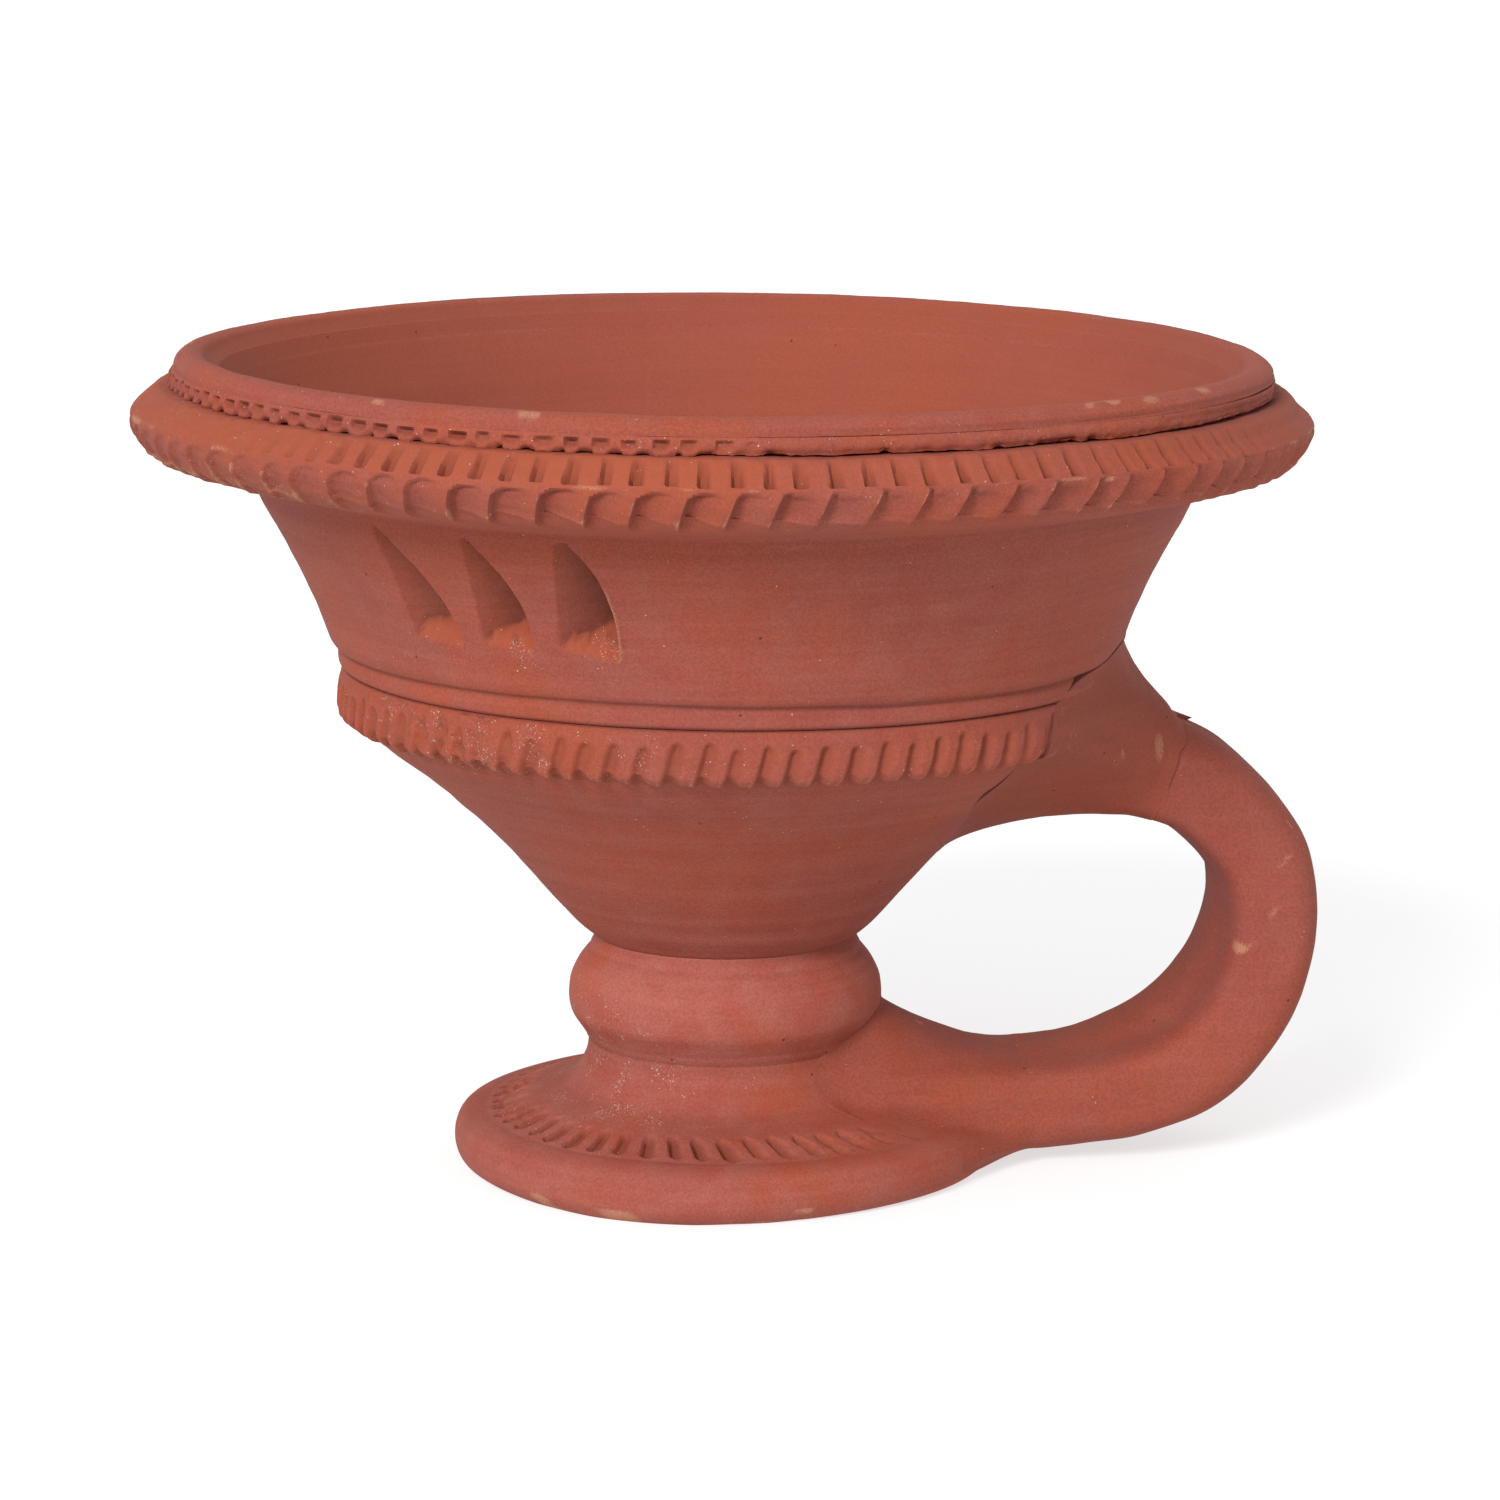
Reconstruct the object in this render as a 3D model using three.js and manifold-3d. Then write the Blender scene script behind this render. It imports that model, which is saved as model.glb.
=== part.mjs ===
// Terracotta incense burner: an open bowl on a knopped, hollow pedestal, with a loop handle.
// Millimetres, +Z up. The origin is on the pot's axis, in the plane that it stands on.
// The handle is on the +X side. Each piece of clay that is luted to the next is a mesh of its own.
import * as THREE from 'three';
import { mergeVertices } from 'three/addons/utils/BufferGeometryUtils.js';
import Module from 'manifold-3d';

const wasm = await Module();
wasm.setup();

// Driving dimensions
const GAP = 0.3; // between two pieces of clay
const FOOT_RADIUS = 42;
const FOOT_EDGE = 8; // height of the foot's rounded edge
const FOOT_TOP = 18.6; // where the foot meets the knop
const REST_RING_INSIDE = 31; // inner radius of the flat that the foot stands on
const HOLLOW_RADIUS = 12.6; // the pedestal's hollow, at its necks
const KNOP_RADIUS = 24.2;
const NECK_HEIGHT = 35; // where the knop meets the bowl
const NECK_RADIUS = 20;
const FLOOR_HEIGHT = 46; // inside of the bowl, on the axis
const WAIST_BOTTOM = 69.6;
const WAIST_TOP = 77.2;
const WAIST_RADIUS = 58.9;
const WAIST_NOTCHES = 84;
const NOTCH_DEPTH = 0.9;
const COLLAR_BOTTOM = 107;
const COLLAR_TOP = 119.8;
const COLLAR_RADIUS = 90;
const COLLAR_DENTS = 84;
const DENT_DEPTH = 1.2;
const ROPE_TOP = 122.2;
const RIM_HEIGHT = 125;
const RIM_RADIUS = 83.3; // outside of the lip
const MOUTH_RADIUS = 77; // inside of the lip
const VENT_ANGLES = [-139.4, -125.9, -113.7, 113.7, 125.9, 139.4]; // degrees from the handle
const VENT_TOP = 105.2;
const VENT_BOTTOM = 87.6;
const VENT_WIDTH = 8.6; // at its base
const VENT_DEPTH = 5;
const STRAP_THICKNESS = 14.4; // handle strap, measured away from the hand
const STRAP_DEPTH = 28; // handle strap, front to back
const CLAY_COLOUR = 0xaa5546;
const CLAY_ROUGHNESS = 0.85;
const SEGMENTS = 48; // round a plain turned piece
const STRAP_STEPS = 22; // along the handle strap
const SECTION_POINTS = 20; // round the strap and its wads

const pot = new THREE.Group();

function addPiece(name, geometry) {
  const clay = new THREE.MeshStandardMaterial({
    color: CLAY_COLOUR,
    roughness: CLAY_ROUGHNESS,
    metalness: 0,
  });
  const mesh = new THREE.Mesh(geometry, clay);
  mesh.name = name;
  pot.add(mesh);
}

// A profile of [radius, height] points, anticlockwise, turned round the Z axis.
function turned(profile, segments = SEGMENTS) {
  const points = profile.map(([radius, height]) => new THREE.Vector2(radius, height));
  const startsOnAxis = points[0].x === 0;
  if (!startsOnAxis) points.push(points[0].clone());
  const geometry = new THREE.LatheGeometry(points, segments);
  geometry.rotateX(Math.PI / 2);
  return geometry;
}

// Points on a round stretch of a profile, as an ellipse arc from one angle to another.
function roundStretch(centre, radii, startDegrees, endDegrees, steps) {
  const points = [];
  for (let i = 0; i <= steps; i += 1) {
    const angle = THREE.MathUtils.degToRad(startDegrees + ((endDegrees - startDegrees) * i) / steps);
    points.push([centre[0] + radii[0] * Math.cos(angle), centre[1] + radii[1] * Math.sin(angle)]);
  }
  return points;
}

// Presses a row of dents into the outside of a turned piece, between two heights.
function dented(geometry, count, depth, lowest, highest, insideRadius) {
  const position = geometry.attributes.position;
  for (let i = 0; i < position.count; i += 1) {
    const x = position.getX(i);
    const y = position.getY(i);
    const z = position.getZ(i);
    const radius = Math.hypot(x, y);
    if (z < lowest || z > highest || radius < insideRadius) continue;
    const press = 0.5 - 0.5 * Math.cos(Math.atan2(y, x) * count);
    const scale = (radius - depth * press) / radius;
    position.setXY(i, x * scale, y * scale);
  }
  return geometry;
}

// A closed skin over rings of points, with a point in the middle of each end ring.
function lofted(rings) {
  const count = rings[0].length;
  const points = rings.flat();
  const indices = [];
  for (let ring = 0; ring < rings.length - 1; ring += 1) {
    for (let k = 0; k < count; k += 1) {
      const a = ring * count + k;
      const b = ring * count + ((k + 1) % count);
      indices.push(a, a + count, b, b, a + count, b + count);
    }
  }
  for (const end of [0, rings.length - 1]) {
    const middle = new THREE.Vector3();
    for (const point of rings[end]) middle.addScaledVector(point, 1 / count);
    points.push(middle);
    for (let k = 0; k < count; k += 1) {
      const a = end * count + k;
      const b = end * count + ((k + 1) % count);
      if (end === 0) indices.push(points.length - 1, a, b);
      else indices.push(points.length - 1, b, a);
    }
  }
  const geometry = new THREE.BufferGeometry().setFromPoints(points);
  geometry.setIndex(indices);
  return geometry;
}

function toSolid(geometry) {
  const bare = geometry.clone();
  bare.deleteAttribute('normal');
  bare.deleteAttribute('uv');
  const merged = mergeVertices(bare, 1e-4);
  return new wasm.Manifold(
    new wasm.Mesh({
      numProp: 3,
      vertProperties: new Float32Array(merged.attributes.position.array),
      triVerts: new Uint32Array(merged.index.array),
    }),
  );
}

function toGeometry(solid) {
  const mesh = solid.getMesh();
  const geometry = new THREE.BufferGeometry();
  geometry.setAttribute('position', new THREE.BufferAttribute(new Float32Array(mesh.vertProperties), 3));
  geometry.setIndex(new THREE.BufferAttribute(new Uint32Array(mesh.triVerts), 1));
  return geometry;
}

// Foot: rest ring, rounded edge and conical top, round a hollow underside.
const edgeMiddle = [FOOT_RADIUS - 4.5, FOOT_EDGE * 0.55];
const footOutside = [
  ...roundStretch(edgeMiddle, [4.5, edgeMiddle[1]], -90, 60, 6),
  [36, FOOT_EDGE + 0.5],
  [30, 10.3],
  [25, 12],
  [22, 15.4],
  [21.1, FOOT_TOP],
];
const footInside = [
  [HOLLOW_RADIUS, FOOT_TOP],
  [HOLLOW_RADIUS + 0.8, 11],
  [20, 5.4],
];
addPiece('foot', turned([[REST_RING_INSIDE, 0], ...footOutside, ...footInside]));

// Knop: a round bead with the pedestal's hollow inside.
const knopBottom = FOOT_TOP + GAP;
const knopOutside = [
  [21.2, knopBottom],
  ...roundStretch([16, 26.4], [KNOP_RADIUS - 16, 8], -48, 58, 6),
  [NECK_RADIUS, NECK_HEIGHT],
];
const knopInside = [
  [HOLLOW_RADIUS - 0.2, NECK_HEIGHT],
  [15, 27],
];
addPiece('stem_knop', turned([[HOLLOW_RADIUS, knopBottom], ...knopOutside, ...knopInside]));

// Lower bowl: a cone with the bowl's floor inside. The pedestal's hollow ends in a dome under it.
const waistSeat = WAIST_RADIUS - 3.2;
const coneOutside = [
  [NECK_RADIUS + 0.1, NECK_HEIGHT + GAP],
  [22.4, 37.3],
  [34.5, 50.5],
  [46.3, 61.5],
  [waistSeat - 1.5, WAIST_BOTTOM - 1.2],
];
const lowerBowlProfile = [
  [0, 38.6],
  [9, 37.8],
  [HOLLOW_RADIUS - 0.2, NECK_HEIGHT + GAP],
  ...coneOutside,
  [waistSeat, WAIST_BOTTOM + 0.4],
  [waistSeat, WAIST_TOP],
  [49, WAIST_TOP],
  [44, 71.2],
  [36, 62.8],
  [27, 54.8],
  [17, FLOOR_HEIGHT + 2.6],
  [8, FLOOR_HEIGHT + 0.4],
  [0, FLOOR_HEIGHT],
];
addPiece('lower_bowl', turned(lowerBowlProfile));

// Waist band: a coil pressed with notches. Its back lies against the lower bowl.
const bandProfile = [
  [waistSeat + GAP, WAIST_BOTTOM],
  [WAIST_RADIUS - 1, WAIST_BOTTOM],
  [WAIST_RADIUS, WAIST_BOTTOM + 2],
  [WAIST_RADIUS - 0.4, WAIST_BOTTOM + 5.6],
  [WAIST_RADIUS - 1.6, WAIST_TOP],
  [waistSeat + GAP, WAIST_TOP],
];
const plainBand = turned(bandProfile, 2 * WAIST_NOTCHES);
const bandNotched = [WAIST_BOTTOM, WAIST_BOTTOM + 6, WAIST_RADIUS - 1.1];
addPiece('waist_band', dented(plainBand, WAIST_NOTCHES, NOTCH_DEPTH, ...bandNotched));

// Bowl wall: flared, with two grooves, a seat for the collar and the gouged vents.
const wallBottom = WAIST_TOP + GAP;
const wallFoot = [62, 87]; // the plain flare runs from here to wallHead
const wallHead = [70.4, 103.6];
const wallOutside = [
  [57.9, wallBottom],
  [59.1, wallBottom + 0.9],
  [59.2, wallBottom + 2.2],
  [58.5, wallBottom + 3],
  [60.2, wallBottom + 4.1],
  wallFoot,
  [66.2, 96],
  wallHead,
];
const collarSeat = 79.4;
const wallProfile = [
  [49.2, wallBottom],
  ...wallOutside,
  [71.8, COLLAR_BOTTOM - 0.2],
  [collarSeat, COLLAR_BOTTOM + 6],
  [collarSeat, COLLAR_TOP],
  [73.8, COLLAR_TOP],
  [67.4, 110.6],
  [61.8, 101],
  [56.6, 91],
  [52.4, 83],
];

function wallRadius(height) {
  return THREE.MathUtils.mapLinear(height, wallFoot[1], wallHead[1], wallFoot[0], wallHead[0]);
}

// A vent is the dent of a three-sided tool: a tall leaning left face, a steep right face and a floor.
// The tool's sides run on outwards, past the wall's outside.
function ventTool(angleDegrees) {
  const placed = (sideways, height, depth) => {
    const radius = wallRadius(height) - depth;
    const angle = THREE.MathUtils.degToRad(angleDegrees) + sideways / wallRadius(height);
    return new THREE.Vector3(radius * Math.cos(angle), radius * Math.sin(angle), height);
  };
  const corners = [
    [0, VENT_TOP],
    [-1, VENT_BOTTOM],
    [VENT_WIDTH - 1, VENT_BOTTOM - 0.8],
  ];
  const deepest = placed(VENT_WIDTH * 0.52, VENT_BOTTOM + 5.6, VENT_DEPTH);
  const runOut = -1.2;
  const points = corners.map(([sideways, height]) => placed(sideways, height, 0).lerp(deepest, runOut));
  points.push(deepest);
  const geometry = new THREE.BufferGeometry().setFromPoints(points);
  geometry.setIndex([0, 1, 2, 0, 3, 1, 1, 3, 2, 2, 3, 0]);
  return geometry;
}

let wall = toSolid(turned(wallProfile));
for (const angle of VENT_ANGLES) wall = wall.subtract(toSolid(ventTool(angle)));
addPiece('bowl_wall', toGeometry(wall));

// Collar: the big coil under the rim, with a row of scooped dents on its edge.
const collarProfile = [
  [72.3, COLLAR_BOTTOM],
  [87.3, COLLAR_BOTTOM + 3.4],
  [COLLAR_RADIUS - 0.6, COLLAR_BOTTOM + 6.2],
  [COLLAR_RADIUS, COLLAR_BOTTOM + 8.8],
  [COLLAR_RADIUS - 1.4, COLLAR_TOP - 1.6],
  [84.8, COLLAR_TOP],
  [collarSeat + GAP, COLLAR_TOP],
  [collarSeat + GAP, COLLAR_BOTTOM + 5.9],
];
const plainCollar = turned(collarProfile, 2 * COLLAR_DENTS);
const collarDented = [COLLAR_BOTTOM + 3, COLLAR_BOTTOM + 7, 86];
addPiece('collar', dented(plainCollar, COLLAR_DENTS, DENT_DEPTH, ...collarDented));

// Rope strip between the collar and the lip.
const ropeBottom = COLLAR_TOP + GAP;
const ropeProfile = [
  [74.1, ropeBottom],
  [84, ropeBottom],
  [84.4, ropeBottom + 0.9],
  [83.8, ROPE_TOP],
  [75.8, ROPE_TOP],
];
addPiece('rim_rope', turned(ropeProfile));

// Lip: the rounded coil at the top.
const lipBottom = ROPE_TOP + GAP;
const lipProfile = [
  [76, lipBottom],
  [RIM_RADIUS - 0.5, lipBottom],
  ...roundStretch([RIM_RADIUS - 2.4, RIM_HEIGHT - 2.2], [2.4, 2.2], 0, 90, 3),
  [MOUTH_RADIUS + 1.2, RIM_HEIGHT - 0.7],
  [MOUTH_RADIUS - 0.2, RIM_HEIGHT - 1.9],
];
addPiece('rim_lip', turned(lipProfile));

// The pot's outside, grown by the gap. The handle's wads are cut to fit against it.
function grown(outside, lift) {
  return outside.map(([radius, height]) => [radius + GAP, height + lift]);
}

const beside = WAIST_RADIUS + GAP;
const potOutside = [
  [0, -FOOT_EDGE],
  [edgeMiddle[0] + GAP, -FOOT_EDGE],
  ...grown(footOutside, GAP),
  ...grown(knopOutside.slice(1, -1), 0),
  ...grown(coneOutside, -GAP),
  [beside, WAIST_BOTTOM - GAP],
  [beside, wallBottom + 2.2],
  ...grown(wallOutside.slice(4), 0),
  [0, wallHead[1]],
];
const potEnvelope = toSolid(turned(potOutside));

// Handle strap: a rounded section carried along the loop's middle line, in the plane y = 0.
const strapLine = new THREE.CatmullRomCurve3(
  [
    [63.5, 61.4],
    [70.6, 59.4],
    [77.6, 54.6],
    [82.4, 47.6],
    [84, 38.6],
    [82.6, 29],
    [78, 20],
    [71, 13.4],
    [62.6, 10.4],
    [53.6, 10.2],
    [47, 11.6],
  ].map(([x, z]) => new THREE.Vector3(x, 0, z)),
);

// Points of a rounded section round a centre. Its thickness lies along outward, its depth along Y.
function section(centre, outward, thickness, depth) {
  const squared = (value) => Math.sign(value) * Math.abs(value) ** 0.75;
  const points = [];
  for (let k = 0; k < SECTION_POINTS; k += 1) {
    const angle = (2 * Math.PI * k) / SECTION_POINTS;
    const point = centre.clone();
    point.addScaledVector(outward, (thickness / 2) * squared(Math.cos(angle)));
    point.y += (depth / 2) * squared(Math.sin(angle));
    points.push(point);
  }
  return points;
}

// The direction across the strap, out of the loop, at a place from 0 to 1 along it.
function outOfLoop(place) {
  const tangent = strapLine.getTangent(place);
  return new THREE.Vector3(-tangent.z, 0, tangent.x);
}

const strapRings = [];
for (let i = 0; i <= STRAP_STEPS; i += 1) {
  const place = i / STRAP_STEPS;
  strapRings.push(section(strapLine.getPoint(place), outOfLoop(place), STRAP_THICKNESS, STRAP_DEPTH));
}
addPiece('handle_arch', lofted(strapRings));

// Wads of clay at the handle's ends: sections that go from inside the pot to the strap's end.
// Each station is a section's lowest point, its highest point and its depth.
function wad(stations, strapEnd) {
  const rings = stations.map(([low, high, depth]) => {
    const bottom = new THREE.Vector3(low[0], 0, low[1]);
    const top = new THREE.Vector3(high[0], 0, high[1]);
    const outward = top.clone().sub(bottom);
    const thickness = outward.length();
    return section(bottom.lerp(top, 0.5), outward.normalize(), thickness, depth);
  });
  const atEnd = strapEnd === 1;
  const clear = strapLine.getTangent(strapEnd).multiplyScalar(atEnd ? GAP : -GAP);
  const last = strapLine.getPoint(strapEnd).add(clear);
  const outward = outOfLoop(strapEnd).multiplyScalar(atEnd ? -1 : 1);
  rings.push(section(last, outward, STRAP_THICKNESS + GAP, STRAP_DEPTH + GAP));
  return toGeometry(toSolid(lofted(rings)).subtract(potEnvelope));
}

const upperWad = [
  [[35, 51.6], [38, 78], 48],
  [[41, 53], [46, 82], 60],
  [[47, 54], [56, 84.4], 66],
  [[52.5, 54], [60.6, 83.8], 60],
  [[57, 54], [62.8, 77], 44],
  [[60, 54], [64.6, 71.4], 33],
];
addPiece('handle_upper_wad', wad(upperWad, 0));

const lowerWad = [
  [[15, 2], [13, 31], 36],
  [[24, 2], [22, 27.6], 43],
  [[31, 2], [28.4, 22], 44],
  [[37, 2.2], [35, 19.4], 39],
  [[42.6, 2.6], [41.6, 18.4], 33],
];
addPiece('handle_lower_wad', wad(lowerWad, 1));

export default pot;
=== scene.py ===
"""Looks of a hand-made terracotta incense burner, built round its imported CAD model.

Lengths in the shape code are millimetres and angles are degrees from the handle's side (+X),
anticlockwise from above. Every vertex is scaled to metres when its mesh is made.
"""

import math

import bpy
import numpy as np
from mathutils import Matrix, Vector


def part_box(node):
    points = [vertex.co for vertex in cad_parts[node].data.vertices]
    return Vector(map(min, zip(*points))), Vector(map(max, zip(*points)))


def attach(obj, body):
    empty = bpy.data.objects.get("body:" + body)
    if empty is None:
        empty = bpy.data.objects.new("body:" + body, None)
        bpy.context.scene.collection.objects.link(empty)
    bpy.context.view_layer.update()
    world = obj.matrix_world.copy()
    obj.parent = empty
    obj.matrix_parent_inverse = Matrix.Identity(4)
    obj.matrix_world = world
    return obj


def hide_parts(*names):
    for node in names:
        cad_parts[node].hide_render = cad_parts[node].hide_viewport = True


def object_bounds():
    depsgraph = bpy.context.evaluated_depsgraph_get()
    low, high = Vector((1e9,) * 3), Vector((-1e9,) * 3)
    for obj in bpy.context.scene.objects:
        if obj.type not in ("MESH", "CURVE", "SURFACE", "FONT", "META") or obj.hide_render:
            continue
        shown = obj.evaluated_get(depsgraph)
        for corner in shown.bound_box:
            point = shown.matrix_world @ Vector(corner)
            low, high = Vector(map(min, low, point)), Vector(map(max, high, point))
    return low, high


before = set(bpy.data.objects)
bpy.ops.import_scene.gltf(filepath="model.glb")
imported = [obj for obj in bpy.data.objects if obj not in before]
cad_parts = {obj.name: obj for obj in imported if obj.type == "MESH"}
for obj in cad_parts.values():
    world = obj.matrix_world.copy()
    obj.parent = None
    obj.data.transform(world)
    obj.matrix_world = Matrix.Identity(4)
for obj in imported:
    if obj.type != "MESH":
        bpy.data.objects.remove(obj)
cad_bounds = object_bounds()

MM = 0.001
VIEW_TURNED = 4.8  # degrees by which the handle points away from the camera
VIEW_DOWN = 10.75  # degrees
VIEW_DISTANCE = 0.7972
VIEW_SIDEWAYS = 0.00383
LENS = 124.8
CREASE = 42  # edges that bend by more degrees than this are sharp
LEAN = 0.0113  # how far the pot's top leans down towards the handle, per mm

# ---------------------------------------------------------------- camera, light, floor


def make_camera():
    data = bpy.data.cameras.new("camera")
    data.sensor_width = 36
    data.lens = LENS
    camera = bpy.data.objects.new("camera", data)
    bpy.context.collection.objects.link(camera)
    turned, down = math.radians(VIEW_TURNED), math.radians(VIEW_DOWN)
    level = Vector((math.sin(turned), math.cos(turned), 0)) * math.cos(down)
    forward = level - Vector((0, 0, math.sin(down)))
    right = Vector((math.cos(turned), -math.sin(turned), 0))
    middle = Vector((0, 0, 0.508 * cad_bounds[1][2]))
    camera.location = middle + VIEW_SIDEWAYS * right - VIEW_DISTANCE * forward
    camera.rotation_euler = forward.to_track_quat("-Z", "Y").to_euler()
    bpy.context.scene.camera = camera


def make_lights():
    world = bpy.data.worlds.new("studio")
    world.use_nodes = True
    background = world.node_tree.nodes["Background"]
    background.inputs["Color"].default_value = (1, 1, 1, 1)
    background.inputs["Strength"].default_value = 0.80
    bpy.context.scene.world = world
    for name, place, spread, power in [
        ("key", (-0.50, -0.90, 0.64), 20, 3.1),
        ("back", (0.8, 0.6, 0.5), 60, 0.15),
    ]:
        data = bpy.data.lights.new(name, "SUN")
        data.angle = math.radians(spread)
        data.energy = power
        lamp = bpy.data.objects.new(name, data)
        lamp.location = place
        lamp.rotation_euler = (-Vector(place)).to_track_quat("-Z", "Y").to_euler()
        bpy.context.collection.objects.link(lamp)
    bpy.context.scene.view_settings.view_transform = "Standard"


def make_floor():
    half = 12
    mesh = bpy.data.meshes.new("floor")
    corners = [(-half, -half, 0), (half, -half, 0), (half, half, 0), (-half, half, 0)]
    mesh.from_pydata(corners, [], [(0, 1, 2, 3)])
    floor = bpy.data.objects.new("floor", mesh)
    bpy.context.collection.objects.link(floor)
    material = bpy.data.materials.new("pale_floor")
    material.use_nodes = True
    shader = material.node_tree.nodes["Principled BSDF"]
    shader.inputs["Base Color"].default_value = (0.35, 0.35, 0.35, 1)
    shader.inputs["Roughness"].default_value = 1.0
    shader.inputs["Specular IOR Level"].default_value = 0.0
    shader.inputs["Emission Color"].default_value = (1, 1, 1, 1)
    shader.inputs["Emission Strength"].default_value = 0.66
    mesh.materials.append(material)


# ---------------------------------------------------------------- materials


class Nodes:
    """Short calls for making the nodes of one material."""

    def __init__(self, material):
        self.tree = material.node_tree
        self.tree.nodes.clear()

    def link(self, source, node, socket):
        self.tree.links.new(source, node.inputs[socket])

    def make(self, kind, sockets=(), **settings):
        node = self.tree.nodes.new(kind)
        for key, value in settings.items():
            setattr(node, key, value)
        for key, value in dict(sockets).items():
            if isinstance(value, bpy.types.NodeSocket):
                self.link(value, node, key)
            else:
                node.inputs[key].default_value = value
        return node

    def math(self, operation, a, b=0.0, clamp=False):
        sockets = {0: a, 1: b}
        return self.make("ShaderNodeMath", sockets, operation=operation, use_clamp=clamp).outputs[0]

    def paint(self, name):
        """A number that the shape code stored on the vertices."""
        return self.make("ShaderNodeAttribute", attribute_name=name).outputs["Fac"]

    def noise(self, where, scale, detail=2.0, stretch=None):
        if stretch:
            where = self.make("ShaderNodeMapping", {"Vector": where, "Scale": stretch}).outputs[0]
        sockets = {"Vector": where, "Scale": scale, "Detail": detail}
        return self.make("ShaderNodeTexNoise", sockets).outputs["Fac"]

    def cells(self, where, scale):
        sockets = {"Vector": where, "Scale": scale}
        return self.make("ShaderNodeTexVoronoi", sockets)

    def between(self, value, low, high, to_low=0.0, to_high=1.0):
        sockets = {"Value": value, "From Min": low, "From Max": high, "To Min": to_low, "To Max": to_high}
        node = self.make("ShaderNodeMapRange", sockets, clamp=True)
        node.interpolation_type = "SMOOTHSTEP"
        return node.outputs[0]

    def mix(self, amount, a, b, blend="MIX"):
        node = self.tree.nodes.new("ShaderNodeMix")
        node.data_type = "RGBA"
        node.blend_type = blend
        for index, value in ((0, amount), (6, a), (7, b)):
            if isinstance(value, bpy.types.NodeSocket):
                self.tree.links.new(value, node.inputs[index])
            elif index == 0:
                node.inputs[0].default_value = value
            else:
                node.inputs[index].default_value = (*value, 1)
        return node.outputs[2]


ORANGE = (0.268, 0.055, 0.029)
RED = (0.240, 0.050, 0.033)
PINK = (0.262, 0.076, 0.055)
FRESH = (0.300, 0.064, 0.028)
SCUFF = (0.43, 0.215, 0.125)
SALT = (0.64, 0.53, 0.47)
PAINTED_SHADE = (0.050, 0.014, 0.011)


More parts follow.
